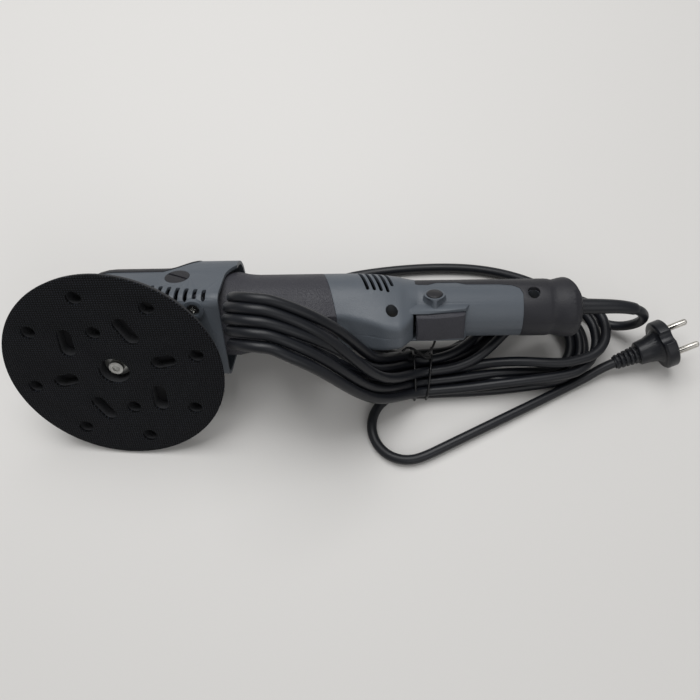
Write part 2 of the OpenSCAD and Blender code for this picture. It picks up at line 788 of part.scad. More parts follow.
module pad_bearing() {
  color(steel)
    lay()
      translate([0, pad_y, 0])
        rotate_extrude()
          bearing_profile(spindle_d / 2 + fit, pad_bearing_d / 2, pad_seat_z - pad_bearing_w, pad_seat_z);
}

module pad_hub() {
  color(steel)
    lay()
      difference() {
        turned_z([[0, foam_top_z], [recess_d / 2 - 3, foam_top_z], [recess_d / 2 - 3, plate_top_z],
          [recess_d / 2 + 4, plate_top_z], [recess_d / 2 + 4, hub_top_z],
          [spindle_d / 2 + 2, hub_top_z], [spindle_d / 2 + 2, pad_seat_z - pad_bearing_w - 0.05],
          [spindle_d / 2, pad_seat_z - pad_bearing_w - 0.05], [spindle_d / 2, pad_seat_z - 0.4],
          [0, pad_seat_z - 0.4]], pad_y);
        bar_z(pad_screw_d / 2 + 0.05, foam_top_z - 1, pad_seat_z - 2.4, 0, pad_y);
      }
}

// Dust holes of the pad, from z0 to z1: outer ring, single inner holes, radial and slanted slots
module dust_holes(z0, z1) {
  r = dust_hole_d / 2;
  inner = inner_hole_pcd / 2;
  middle = middle_hole_pcd / 2;
  translate([0, pad_y, 0])
    rotate([0, 0, pattern_deg]) {
      for (a = [0 : 45 : 359])
        rotate([0, 0, a]) {
          bar_z(r, z0, z1, outer_hole_pcd / 2);
          bar_z(r, z0, z1, inner);
        }
      for (a = [30 : 60 : 359])
        rotate([0, 0, a])
          bar_z(r, z0, z1, middle);
      for (a = [90, 270])
        rotate([0, 0, a])
          block([inner, -r, z0], [middle, r, z1]);
      for (side_turn = [0, 180])
        rotate([0, 0, side_turn])
          for (flip = [0, 1])
            mirror([0, flip, 0])
              dust_slot(inner, 45, middle, 30, r, z0, z1);
    }
}

// Straight slot between two holes given by radius and angle
module dust_slot(r0, a0, r1, a1, r, z0, z1) {
  p = [r0 * cos(a0), r0 * sin(a0)];
  q = [r1 * cos(a1), r1 * sin(a1)];
  d = q - p;
  translate([p.x, p.y, 0])
    rotate([0, 0, atan2(d.y, d.x)])
      block([0, -r, z0], [norm(d), r, z1]);
}

module pad_plate() {
  color(charcoal)
    lay()
      turned_z([[recess_d / 2 - 3 + seat, foam_top_z], [pad_r - foam_taper - 2, foam_top_z],
        [pad_r - foam_taper - 2, foam_top_z + 1.2], [pad_r - foam_taper - 4, plate_top_z - 0.6],
        [recess_d / 2 + 12, plate_top_z - 0.6], [recess_d / 2 + 10, plate_top_z],
        [recess_d / 2 - 3 + seat, plate_top_z]], pad_y);
}

module pad_foam() {
  color(black)
    lay()
      difference() {
        turned_z(concat([[recess_d / 2, hook_top_z]], foam_edge, [[recess_d / 2, foam_top_z]]), pad_y);
        dust_holes(hook_top_z - 1, foam_top_z + 1);
      }
}

module pad_hook() {
  color(black)
    lay()
      difference() {
        turned_z([[recess_d / 2, pad_face_z], [pad_r - 0.4, pad_face_z], [pad_r, pad_face_z + 0.4],
          [pad_r, hook_top_z - 0.3], [pad_r - 0.3, hook_top_z], [recess_d / 2, hook_top_z]], pad_y);
        dust_holes(pad_face_z - 1, hook_top_z + 1);
      }
}

module pad_washer() {
  color(steel)
    lay()
      difference() {
        bar_z(recess_d / 2 - 1.6, foam_top_z - 1.5, foam_top_z, 0, pad_y);
        bar_z(pad_screw_d / 2 + 0.2, foam_top_z - 3, foam_top_z + 1, 0, pad_y);
      }
}

module pad_screw() {
  head_r = pad_screw_d * 0.83;
  color(steel)
    lay()
      difference() {
        union() {
          bar_z(head_r, foam_top_z - 1.5 - pad_screw_d * 0.8, foam_top_z - 1.5, 0, pad_y);
          bar_z(pad_screw_d / 2, foam_top_z - 2, pad_seat_z - 3, 0, pad_y);
        }
        translate([0, pad_y, foam_top_z - 2.5 - pad_screw_d])
          cylinder(d = pad_screw_d * 0.96, h = pad_screw_d * 0.75, $fn = 6);
      }
}

// Outline of the barrel seen from behind: round, with a flat keel underneath
module barrel_section(grow) {
  r = barrel_r + grow;
  translate([0, -motor_drop])
    circle(r);
  polygon([[-0.85 * r, -motor_drop - 0.527 * r], [-keel_half_w - grow, keel_z - grow],
    [keel_half_w + grow, keel_z - grow], [0.85 * r, -motor_drop - 0.527 * r]]);
}

// Everything behind the slanted joint, moved back by gap
module behind_joint(gap) {
  translate([joint_x + gap, 0, -motor_drop])
    rotate([0, -joint_slant, 0])
      block([0, -200, -200], [400, 200, 200]);
}

module motor_barrel() {
  color(charcoal)
    lay()
      difference() {
        union() {
          difference() {
            union() {
              turned_x([[0, case_rear_x + 0.1], [flare_r, case_rear_x + 0.1], [flare_r, head_end_x],
                [flare_r - 0.7, head_end_x + 3], [flare_r - 1.6, head_end_x + 7],
                [barrel_r + 0.25, head_end_x + 11.5], [barrel_r, head_end_x + 16], [barrel_r, joint_x + 20],
                [0, joint_x + 20]], -motor_drop);
              along_x(head_end_x + 6, joint_x + 20)
                barrel_section(0);
            }
            behind_joint(0);
          }
          bar_x(neck_r, joint_x - 20, neck_end_x, 0, -motor_drop);
          for (s = [-1, 1])
            bar_z(5, head_low_z + 8.1, -motor_drop - 10, boss_x, s * boss_y);
        }
        for (s = [-1, 1])
          bar_z(screw_r + seat, head_low_z + 5, head_low_z + 14.4, boss_x, s * boss_y);
        bar_x(fan_d / 2 + 1, case_rear_x - 1, stator_x - 1, 0, -motor_drop);
        bar_x(barrel_in_r, stator_x - 1.5, stator_end_x, 0, -motor_drop);
        bar_x(neck_r - 2.2, stator_end_x - 1, neck_end_x + 1, 0, -motor_drop);
      }
}

// Wedge about the motor axis, centred on the +y and -y sides
module side_wedges(half_deg, x0, x1) {
  reach = 60;
  along_x(x0, x1)
    for (s = [-1, 1])
      translate([0, -motor_drop])
        polygon([[0, 0], [s * reach, reach * tan(half_deg)], [s * reach, -reach * tan(half_deg)]]);
}

module stator_core() {
  color([0.45, 0.45, 0.47])
    lay()
      difference() {
        intersection() {
          bar_x(stator_r, stator_x, stator_end_x, 0, -motor_drop);
          block([0, -100, -motor_drop - stator_r * 0.88], [400, 100, -motor_drop + stator_r * 0.88]);
        }
        bar_x(armature_r + 0.6, stator_x - 1, stator_end_x + 1, 0, -motor_drop);
        intersection() {
          bar_x(coil_out_r + 0.2, stator_x - 1, stator_end_x + 1, 0, -motor_drop);
          side_wedges(coil_half_deg, stator_x - 1, stator_end_x + 1);
        }
      }
}

module stator_coils() {
  color(copper)
    lay()
      difference() {
        union() {
          for (x = [stator_x - coil_over, stator_end_x + 0.1])
            bar_x(coil_out_r, x, x + coil_over - 0.1, 0, -motor_drop);
          intersection() {
            bar_x(coil_out_r, stator_x - 0.2, stator_end_x + 0.2, 0, -motor_drop);
            side_wedges(coil_half_deg - 1.2, stator_x - 0.2, stator_end_x + 0.2);
          }
        }
        bar_x(coil_in_r, stator_x - 20, stator_end_x + 20, 0, -motor_drop);
        block([0, -100, -motor_drop - 0.6], [400, 100, -motor_drop + 0.6]);
      }
}

module front_bearing() {
  color(steel)
    lay()
      translate([0, 0, -motor_drop])
        rotate([0, 90, 0])
          rotate_extrude()
            bearing_profile(shaft_r + fit, front_bearing_d / 2, front_bearing_x,
              front_bearing_x + front_bearing_w);
}

module rear_bearing() {
  color(steel)
    lay()
      translate([0, 0, -motor_drop])
        rotate([0, 90, 0])
          rotate_extrude()
            bearing_profile(rear_shaft_r + fit, rear_bearing_d / 2, rear_bearing_x,
              rear_bearing_x + rear_bearing_w);
}

module brush_carrier() {
  color(black)
    lay()
      difference() {
        union() {
          bar_x(neck_r - 2.3, carrier_x, carrier_x + carrier_t, 0, -motor_drop);
          bar_x(rear_bearing_d / 2 + 2.5, carrier_x, rear_bearing_x + rear_bearing_w + 1.5, 0, -motor_drop);
          for (s = [-1, 1])
            block([brush_x + brush_half_x + box_wall + 0.05, s > 0 ? box_in_y + 1 : -box_out_y,
              -motor_drop - brush_half_z], [carrier_x + 1, s > 0 ? box_out_y : -box_in_y - 1,
              -motor_drop + brush_half_z]);
        }
        bar_x(rear_shaft_r + 2, carrier_x - 5, rear_bearing_x + 20, 0, -motor_drop);
        bar_x(rear_bearing_d / 2 + fit, rear_bearing_x, rear_bearing_x + rear_bearing_w + 0.1, 0,
          -motor_drop);
        for (a = [0, 180])
          translate([carrier_x - 1, 0, -motor_drop])
            rotate([a, 0, 0])
              block([0, -6, 12.5], [carrier_t + 2, 6, 40]);
      }
}

module brush_boxes() {
  color(brass)
    lay()
      for (s = [-1, 1])
        difference() {
          block([brush_x - brush_half_x - box_wall, s > 0 ? box_in_y : -box_out_y,
              -motor_drop - brush_half_z - box_wall],
            [brush_x + brush_half_x + box_wall, s > 0 ? box_out_y : -box_in_y,
              -motor_drop + brush_half_z + box_wall]);
          block([brush_x - brush_half_x - 0.05, -50, -motor_drop - brush_half_z - 0.05],
            [brush_x + brush_half_x + 0.05, 50, -motor_drop + brush_half_z + 0.05]);
        }
}

module carbon_brushes() {
  color([0.15, 0.15, 0.16])
    lay()
      for (s = [-1, 1])
        difference() {
          block([brush_x - brush_half_x, s > 0 ? commutator_r - 1 : -box_out_y + 3.6,
              -motor_drop - brush_half_z],
            [brush_x + brush_half_x, s > 0 ? box_out_y - 3.6 : 1 - commutator_r,
              -motor_drop + brush_half_z]);
          bar_x(commutator_r + 0.1, brush_x - 10, brush_x + 10, 0, -motor_drop);
        }
}

module brush_springs() {
  color(steel)
    lay()
      for (s = [-1, 1])
        difference() {
          bar_x(1.7, brush_x - 2.5, brush_x + 2.5, s * (box_out_y - 1.8), -motor_drop);
          bar_x(1, brush_x - 4, brush_x + 4, s * (box_out_y - 1.8), -motor_drop);
        }
}

module armature_shaft() {
  end_x = rear_bearing_x + rear_bearing_w - 0.5;
  color(steel)
    lay()
      turned_x([[0, ring_r - gear_face], [front_shaft_r, ring_r - gear_face],
        [front_shaft_r, front_bearing_x - 1], [shaft_r, front_bearing_x - 1], [shaft_r, carrier_x - 1],
        [rear_shaft_r, carrier_x - 1], [rear_shaft_r, end_x], [0, end_x]], -motor_drop);
}

module armature_core() {
  color([0.50, 0.50, 0.52])
    lay()
      difference() {
        bar_x(armature_r, stator_x + 0.5, stator_end_x - 0.5, 0, -motor_drop);
        bar_x(shaft_r + fit, stator_x - 1, stator_end_x + 1, 0, -motor_drop);
        for (a = [0 : 30 : 359])
          translate([0, 0, -motor_drop])
            rotate([a, 0, 0])
              block([stator_x - 1, -0.9, armature_r - 1.6], [stator_end_x + 1, 0.9, armature_r + 1]);
      }
}

module armature_coils() {
  r = armature_r - 2.4;
  color(copper)
    lay() {
      turned_x([[shaft_r + fit, stator_x + 0.4], [r, stator_x + 0.4], [r, stator_x - 4],
        [r - 3, stator_x - 8], [shaft_r + fit, stator_x - 9]], -motor_drop);
      turned_x([[shaft_r + fit, stator_end_x - 0.4], [r, stator_end_x - 0.4], [r, stator_end_x + 5],
        [r - 3, stator_end_x + 9], [shaft_r + fit, stator_end_x + 11]], -motor_drop);
    }
}

module commutator() {
  color(copper)
    lay()
      turned_x([[shaft_r + fit, commutator_x - 1.5], [commutator_r + 1.4, commutator_x - 1.5],
        [commutator_r + 1.4, commutator_x + 1], [commutator_r, commutator_x + 1.4],
        [commutator_r, commutator_x + commutator_len], [shaft_r + fit, commutator_x + commutator_len]],
        -motor_drop);
}

module cooling_fan() {
  r = fan_d / 2;
  color(black)
    lay()
      difference() {
        union() {
          turned_x([[0, fan_x], [shaft_r + 4, fan_x], [shaft_r + 5, fan_x + fan_w - 3],
            [r, fan_x + fan_w - 2], [r, fan_x + fan_w], [0, fan_x + fan_w]], -motor_drop);
          for (i = [0 : fan_blades - 1])
            translate([0, 0, -motor_drop])
              rotate([i * 360 / fan_blades, 0, 0])
                block([fan_x, -0.8, shaft_r + 6], [fan_x + fan_w - 1, 0.8, r - 0.5]);
        }
        bar_x(shaft_r + fit, fan_x - 1, fan_x + fan_w + 1, 0, -motor_drop);
      }
}

module pinion_gear() {
  color(steel)
    lay()
      difference() {
        union() {
          translate([0, 0, -motor_drop])
            rotate([0, 90, 0])
              rotate([0, 0, 180 / pinion_teeth])
                bevel_gear(pinion_teeth, pinion_cone, ring_r - gear_face, ring_r + 0.5);
          bar_x(pinion_r - 2, ring_r - 1, front_bearing_x - 1.2, 0, -motor_drop);
        }
        bar_x(front_shaft_r + fit, ring_r - gear_face - 3, front_bearing_x, 0, -motor_drop);
      }
}

// Closed solid through a list of rings with the same number of points
module loft(rings) {
  count = len(rings[0]);
  last = len(rings) - 1;
  hub = count * (last + 1);
  skin = [for (i = [0 : last - 1]) for (k = [0 : count - 1])
    let (p = i * count + k)
    let (q = i * count + (k + 1) % count)
    each [[q, p, p + count], [q, p + count, q + count]]];
  near = [for (k = [0 : count - 1]) [hub, k, (k + 1) % count]];
  far = [for (k = [0 : count - 1]) [hub + 1, last * count + (k + 1) % count, last * count + k]];
  mids = [for (i = [0, last]) ([for (p = rings[i]) 1] * rings[i]) / count];
  polyhedron(concat([for (row = rings) each row], mids), concat(skin, near, far));
}

// Reach of a housing section at an angle from straight down: round, with a flat keel underneath
function section_reach(a, r, keel_w, keel_d) =
  let (corner = norm([keel_w, keel_d]))
  let (corner_a = atan2(keel_w, keel_d))
  let (tangent_a = corner > r ? corner_a + acos(r / corner) : 0)
  corner <= r || a >= tangent_a ? r : a >= corner_a ? r / cos(tangent_a - a) : max(r, keel_d / cos(a));
function section_ring(x, z, r, keel_w, keel_d) =
  [for (i = [0 : 47])
    let (a = i * 7.5)
    let (reach = section_reach(a <= 180 ? a : 360 - a, r, keel_w, keel_d))
    [x, reach * sin(a), z - reach * cos(a)]];

// Solid form of the rear housing, from the joint to the handle's shoulder, with its chin
module rear_form(grow) {
  r = barrel_r + grow;
  s = (barrel_r - handle_r) / 7.8;
  keel = keel_half_w + grow * 0.6;
  drop = -motor_drop - keel_z + grow;
  deep = chin_drop - motor_drop / 2 + grow;
  loft([
    section_ring(joint_x - 16, -motor_drop, r, keel, drop),
    section_ring(joint_x + 12, -motor_drop, r, keel, drop),
    section_ring(joint_x + 22, -motor_drop * 0.97, r - 0.2 * s, keel - 1, drop * 0.8 + deep * 0.2),
    section_ring(joint_x + 33, -motor_drop * 0.9, r - 0.9 * s, keel - 2.6, drop * 0.5 + deep * 0.5),
    section_ring(joint_x + 41, -motor_drop * 0.8, r - 1.9 * s, keel - 4, drop * 0.2 + deep * 0.8),
    section_ring(joint_x + 47, -motor_drop * 0.65, r - 3.1 * s, keel - 5, deep - 0.8),
    section_ring(joint_x + 52 + grow * 0.3, -motor_drop * 0.45, r - 4.3 * s, keel - 5.4, deep - 0.6),
    section_ring(joint_x + 56 + grow * 0.6, -motor_drop * 0.25, r - 5.8 * s, keel - 5.4, deep - 4),
    section_ring(joint_x + 60 + grow, -motor_drop * 0.1, r - 6.8 * s, keel - 5, deep - 10),
    section_ring(joint_x + 64 + grow, 0, r - 7.6 * s, keel - 5, deep - 17),
    section_ring(joint_x + 68 + grow, 0, r - 8 * s, 0, 0)]);
}

// Solid form of the handle behind the shoulder: plain grip, waist, flared end with a sloping back
module handle_form(grow) {
  end = handle_end_x;
  r = handle_r + grow;
  dome_r = 45 + grow;
  dome_x = end - 43;
  intersection() {
    turned_x([[0, handle_x - 8], [r, handle_x - 8], [r, end - 24], [r - 0.2, end - 21.5],
      [r - 0.7, end - 19.5], [r - 0.8, end - 18.5], [r - 0.4, end - 16.5], [r + 0.4, end - 13.5],
      [r + 0.8, end - 11], [r + 0.9, end - 4], [r - 0.6, end - 1.4 + grow], [r - 3, end + grow],
      [0, end + grow]]);
    union() {
      block([handle_x - 9, -dome_r, -dome_r], [dome_x + 1, dome_r, dome_r]);
      translate([dome_x, 0, -14])
        sphere(dome_r);
    }
  }
}

// Guard along both sides of the trigger, under the handle
module trigger_guard() {
  x1 = trigger_x + trigger_len + 3;
  intersection() {
    along_x(handle_x - 10, x1) {
      translate([-guard_half_w, guard_z + 4])
        square([2 * guard_half_w, handle_r - 6]);
      translate([-guard_half_w + 4, guard_z])
        square([2 * guard_half_w - 8, 8]);
      for (s = [-1, 1])
        translate([s * (guard_half_w - 4), guard_z + 4])
          circle(4);
    }
    along_y(-50, 50)
      polygon([[handle_x - 10, guard_z], [handle_x + 6, guard_z], [x1 - 3, guard_z + trigger_rise],
        [x1, guard_z + trigger_rise + 5], [x1, 0], [handle_x - 10, 0]]);
  }
}

// Zone of the rubber grip: the top of the handle and all of its end
module grip_zone(grow) {
  top = handle_r + 20;
  back = handle_end_x + 40;
  along_y(-100, 100)
    polygon([[handle_x + 0.8 - grow, -0.5 - grow], [handle_x + 10, -0.8 - grow], [handle_x + 16, 2 - grow],
      [handle_x + 30, 2 - grow], [handle_x + 37, -0.8 - grow], [panel_end_x - 16, -1.2 - grow],
      [panel_end_x - 7, -2.6 - grow], [panel_end_x - 2 - grow, -5.6 - grow], [panel_end_x - grow, -10 - grow],
      [panel_end_x - grow, -60], [back, -60], [back, top], [handle_x + 0.8 - grow, top]]);
}

// What the grip is wrapped round: core of the handle, then the hollow of the end
module grip_core(grow) {
  bar_x(core_r + grow, handle_x - 20, cap_in_x);
  bar_x(core_r - 4 + grow, cap_in_x - 1, handle_end_x - 4);
}

// Slanted air slots in the rear housing, both sides
module rear_vents() {
  for (i = [0 : 4]) {
    low = i < 4 ? -14 : -8;
    for (s = [-1, 1])
      translate([vent_x0 + i * vent_pitch, s * (barrel_r - 3), 0])
        rotate([0, -joint_slant - 2, 0])
          along_y(-7, 7) {
            translate([-vent_w / 2, low])
              square([vent_w, 22]);
            translate([0, low])
              circle(vent_w / 2);
          }
  }
}

// Both handle shells in one, before they are parted
module handle_body() {
  difference() {
    union() {
      intersection() {
        union() {
          rear_form(0);
          handle_form(0);
          trigger_guard();
        }
        behind_joint(0.25);
      }
      button_boss();
    }
    difference() {
      grip_zone(seat);
      grip_core(0);
      block([0, -200, -200], [handle_x + 0.7, 200, 200]);
    }
    difference() {
      union() {
        rear_form(-handle_wall);
        bar_x(inner_r, handle_x - 10, handle_end_x);
      }
      for (p = [screw_a, screw_b])
        bar_y(screw_boss_r, -60, 60, p.x, p.y);
    }
    bar_x(neck_r + seat, joint_x - 30, neck_end_x + 0.3, 0, -motor_drop);
    block([trigger_x - trigger_swing, -trigger_half_w - 0.4, trigger_low_z - 30],
      [trigger_x + trigger_len + 0.4, trigger_half_w + 0.4, -inner_r + 4]);
    bar_y(pivot_r + 0.05, -guard_half_w + 0.8, guard_half_w - 0.8, pivot_x, pivot_z);
    block([dial_x - dial_r - 0.6, -dial_w / 2 - 0.5, 0], [dial_x + dial_r + 0.6, dial_w / 2 + 0.5, 60]);
    rear_vents();
    for (p = [screw_a, screw_b]) {
      bar_y(screw_sink_r, -100, -6, p.x, p.y);
      bar_y(screw_r + seat, -100, 8, p.x, p.y);
    }
    bar_y(button_r + 0.15, -60, -4, button_x, button_z);
    bar_y(button_r + 0.9, -9.4, -2, button_x, button_z);
  }
}

// Ring boss round the lock button, with a fairing below it
module button_boss() {
  difference() {
    union() {
      bar_y(button_ring_r, button_face_y, -inner_r + 4, button_x, button_z);
      translate([button_x, button_face_y, button_z])
        rotate([-90, 0, 0])
          cylinder(r1 = button_ring_r, r2 = button_ring_r + 2, h = 8);
    }
    bar_x(inner_r, handle_x - 10, handle_end_x);
  }
}

module handle_left() {
  color(grey)
    lay()
      intersection() {
        handle_body();
        side(true);
      }
}

module handle_right() {
  color(grey)
    lay()
      intersection() {
        handle_body();
        side(false);
      }
}

// Both halves of the grip in one, before they are parted
module grip_body() {
  difference() {
    intersection() {
      handle_form(0.25);
      grip_zone(0);
      block([handle_x + 0.8, -200, -200], [600, 200, 200]);
    }
    grip_core(seat);
    bar_x(sleeve_d / 2 + seat, handle_end_x - 10, handle_end_x + 10);
    block([dial_x - dial_r - 0.6, -dial_w / 2 - 0.5, 0], [dial_x + dial_r + 0.6, dial_w / 2 + 0.5, 60]);
    bar_y(screw_sink_r + seat, -100, 0, screw_b.x, screw_b.y);
  }
}

module grip_left() {
  color(black)
    lay()
      intersection() {
        grip_body();
        side(true);
      }
}

module grip_right() {
  color(black)
    lay()
      intersection() {
        grip_body();
        side(false);
      }
}

module handle_screws() {
  color(brass)
    lay()
      for (p = [screw_a, screw_b])
        difference() {
          union() {
            bar_y(screw_head_r, -8.4, -6.05, p.x, p.y);
            bar_y(screw_r, -7, 7.5, p.x, p.y);
          }
          for (a = [0, 90])
            translate([p.x, -8.4, p.y])
              rotate([0, a, 0])
                cube([0.8, 2, 3.6], center = true);
        }
}

module switch_module() {
  color(black)
    lay()
      difference() {
        union() {
          block([switch_x, -switch_half_w, switch_low_z],
            [switch_x + switch_len, switch_half_w, switch_top_z]);
          for (s = [-1, 1])
            block([switch_x + switch_len - 0.1, s * 4.5 - 1.5, switch_top_z - 8],
              [switch_x + switch_len + 3.5, s * 4.5 + 1.5, switch_top_z - 6.6]);
        }
        block([trigger_x + 5, -web_half_w - 0.6, switch_low_z - 1],
          [trigger_x + 13, web_half_w + 0.6, switch_low_z + 8]);
      }
}

module speed_board() {
  x0 = dial_x - dial_r - 3;
  x1 = dial_x + dial_r + 3;
  color([0.12, 0.35, 0.22])
    lay()
      difference() {
        union() {
          block([x0, -board_half_w, board_z], [x1, board_half_w, board_z + board_t]);
          for (s = [-1, 1])
            block([dial_x - 5, s > 0 ? dial_w / 2 + arm_gap : -dial_w / 2 - arm_gap - arm_t,
                board_z + board_t - 0.1],
              [dial_x + 5, s > 0 ? dial_w / 2 + arm_gap + arm_t : -dial_w / 2 - arm_gap, arm_top_z]);
        }
        bar_y(axle_r + fit, -50, 50, dial_x, dial_z);
      }
}

module cord_clamp() {
  color(charcoal)
    lay()
      difference() {
        block([clamp_x, -inner_r + 1.2, -inner_r * 0.55], [clamp_x + 6, inner_r - 1.2, 0.2]);
        bar_x(cord_r + 0.05, clamp_x - 1, clamp_x + 8);
        for (s = [-1, 1])
          bar_z(1.6, -40, 40, clamp_x + 3, s * (inner_r - 5));
        difference() {
          block([clamp_x - 1, -60, -60], [clamp_x + 8, 60, 60]);
          bar_x(inner_r - 0.2, clamp_x - 2, clamp_x + 9);
        }
      }
}

module trigger() {
  x1 = trigger_x + trigger_len;
  color(charcoal)
    lay()
      difference() {
        union() {
          intersection() {
            along_y(-trigger_half_w, trigger_half_w)
              polygon([[trigger_x, pad_top_z], [trigger_x, trigger_low_z + 1.2],
                [trigger_x + 1.2, trigger_low_z], [trigger_x + 14, trigger_low_z + 0.9],
                [x1 - 1.2, trigger_low_z + trigger_rise], [x1, trigger_low_z + trigger_rise + 1.2],
                [x1, pad_top_z]]);
            along_x(trigger_x - 1, x1 + 1)
              trigger_section();
          }
          along_y(-web_half_w, web_half_w)
            polygon([[trigger_x + 2, pad_top_z - 1], [x1 - 0.2, pad_top_z - 1], [x1 - 0.2, pivot_z + 2],
              [pivot_x - 4, pivot_z + 3], [trigger_x + 11, pivot_z + 1.6],
              [trigger_x + 11, switch_low_z + 1.6], [trigger_x + 7, switch_low_z + 1.6],
              [trigger_x + 7, pivot_z + 1.6], [trigger_x + 2, pivot_z]]);
        }
        bar_y(pivot_r + fit, -50, 50, pivot_x, pivot_z);
      }
}

// Outline of the trigger's pad seen from behind, with a round underside
module trigger_section() {
  r = 5;
  low = trigger_low_z;
  for (s = [-1, 1])
    translate([s * (trigger_half_w - r), low + r + 1.4])
      circle(r);
  translate([-trigger_half_w, low + r + 1.4])
    square([2 * trigger_half_w, 20]);
  intersection() {
    translate([0, low + 40])
      circle(40);
    translate([-trigger_half_w + 1.4, low - 1])
      square([2 * trigger_half_w - 2.8, 20]);
  }
}

module trigger_pin() {
  color(steel)
    lay()
      bar_y(pivot_r, -guard_half_w + 0.9, guard_half_w - 0.9, pivot_x, pivot_z);
}

module lock_button() {
  face = button_face_y - button_proud;
  color(charcoal)
    lay()
      translate([button_x, face, button_z])
        rotate([-90, 0, 0])
          rotate_extrude()
            polygon([[0, 0], [button_r - 1.2, 0], [button_r - 0.2, 0.5], [button_r, 1.2],
              [button_r, -9.5 - face], [button_r + 0.6, -9.3 - face], [button_r + 0.6, -8.2 - face],
              [0, -8.2 - face]]);
}

module speed_dial() {
  color(charcoal)
    lay()
      difference() {
        union() {
          bar_y(dial_r, -dial_w / 2, dial_w / 2, dial_x, dial_z);
          bar_y(axle_r, -dial_w / 2 - arm_gap - arm_t + 0.1, dial_w / 2 + arm_gap + arm_t - 0.1, dial_x,
            dial_z);
        }
        for (a = [0 : 20 : 359])
          translate([dial_x, 0, dial_z])
            rotate([0, a, 0])
              block([-0.6, -dial_w, dial_r - 0.7], [0.6, dial_w, dial_r + 1]);
      }
}

module clamp_screws() {
  color(steel)
    lay()
      for (s = [-1, 1])
        difference() {
          union() {
            bar_z(1.5, -7, 0.3, clamp_x + 3, s * (inner_r - 5));
            bar_z(2.8, 0.2, 2.2, clamp_x + 3, s * (inner_r - 5));
          }
          block([clamp_x - 1, s * (inner_r - 5) - 0.4, 1.4], [clamp_x + 7, s * (inner_r - 5) + 0.4, 3]);
        }
}

module cord_sleeve() {
  line = [for (u = [0.5 : 0.5 : sleeve_knots]) line_at(tail_knots(), u)];
  taper = (sleeve_r - cord_r - 0.9) / (len(line) - 1);
  color(black) {
    lay()
      difference() {
        union() {
          bar_x(sleeve_r, cap_in_x + 6, handle_end_x + 2);
          bar_x(sleeve_r + 3, handle_end_x - 7.4, handle_end_x - 4.1);
        }
        bar_x(cord_r + 0.05, cap_in_x, cap_in_x + 12);
      }
    loft(tube_rings(line, [for (i = [0 : len(line) - 1]) sleeve_r - 0.05 - taper * i], 16));
  }
}

module cord_inner() {
  color(black)
    lay()
      bar_x(cord_r, clamp_x - 0.3, cap_in_x + 11.9);
}

module cord_tail() {
  line = [for (u = [sleeve_knots : len(tail_knots()) - 1]) line_at(tail_knots(), u)];
  color(black)
    loft(tube_rings(line, [for (p = line) cord_r], 10));
}

module cord_hank() {
  last = len(hank_spine) - 1;
  color(black)
    loft(concat(
      [for (a = [15, 40, 65])
        hank_ring(0, -hank_fold_r * cos(a) - cord_r * 0.6, hank_fold_r * sin(a) + cord_r,
          -cord_r, hank_spine[0][5])],
      [for (i = [0 : last]) hank_ring(i, 0, hank_spine[i][4], -cord_r, hank_spine[i][5])],
      [for (a = [65, 40, 15])
        hank_ring(last, hank_fold_r * cos(a) + cord_r * 0.6, hank_fold_r * sin(a) + cord_r,
          -cord_r, hank_spine[last][5])]));
}

module tie_loop(grow) {
  half = hank_spine[7][4] + grow;
  top = 15.4 + grow;
  low = 0.7 - grow * 0.7;
  r = 3.4 + grow;
  for (y = [r - half, half - r])
    for (z = [low + r, top - r])
      translate([y, z])
        circle(r);
  translate([-half, low + r])
    square([2 * half, top - low - 2 * r]);
  translate([r - half, low])
    square([2 * half - 2 * r, top - low]);
}

module cord_tie() {
  color(black)
    translate([centre_x, centre_y + tie_y, 0]) {
      for (x = tie_x)
        along_x(x - 0.7, x + 0.7)
          difference() {
            tie_loop(1);
            tie_loop(-0.1);
          }
      bar_x(0.9, tie_x[0], tie_x[1], 5, 16.1);
      translate([(tie_x[0] + tie_x[1]) / 2, 5, 16])
        rotate([-25, 20, 0])
          cylinder(r = 0.9, h = 13);
    }
}

module cord_lead() {
  line = [for (u = [0 : len(lead_knots()) - 1]) line_at(lead_knots(), u)];
  color(black)
    loft(tube_rings(line, [for (p = line) cord_r], 10));
}

module plug_relief() {
  ribs = [for (i = [0 : 4])
    let (x = 3.4 * i - plug_len + 1)
    let (r = cord_r + 1.4 + 0.32 * i)
    each [[r, x], [r + 0.5, x + 0.5], [r + 0.5, x + 1.9], [r, x + 2.4], [r - 0.7, x + 2.5],
      [r - 0.7, x + 3.3]]];
  color(black)
    plug_place()
      turned_x(concat([[0, -plug_len], [cord_r + 1, -plug_len]], ribs,
        [[cord_r + 3.2, -neck_len], [0, -neck_len]]));
}

module plug_body() {
  color(black)
    plug_place()
      difference() {
        turned_x([[0, -neck_len], [8.2, -neck_len], [9, -neck_len + 1], [9.6, -neck_len + 8],
          [11.5, -plug_t - 2], [13.5, -plug_t], [plug_r - 1.2, -plug_t], [plug_r, -plug_t + 1.2],
          [plug_r, -1], [plug_r - 1, 0], [0, 0]]);
        for (s = [-1, 1]) {
          translate([0, 0, s * (plug_r + 2)])
            bar_x(5.4, -plug_t - 1, 1);
          bar_x(pin_root_r + 0.02, -8, 1, s * pin_spacing / 2);
        }
      }
}

module plug_pins() {
  color(brass)
    plug_place()
      for (s = [-1, 1])
        translate([0, s * pin_spacing / 2, 0])
          turned_x([[0, -7.9], [pin_root_r, -7.9], [pin_root_r, 0.4], [pin_d / 2, 0.6],
            [pin_d / 2, pin_len - 1.4], [pin_d / 2 - 0.5, pin_len - 0.5], [pin_d / 2 - 1.2, pin_len],
            [0, pin_len]]);
}

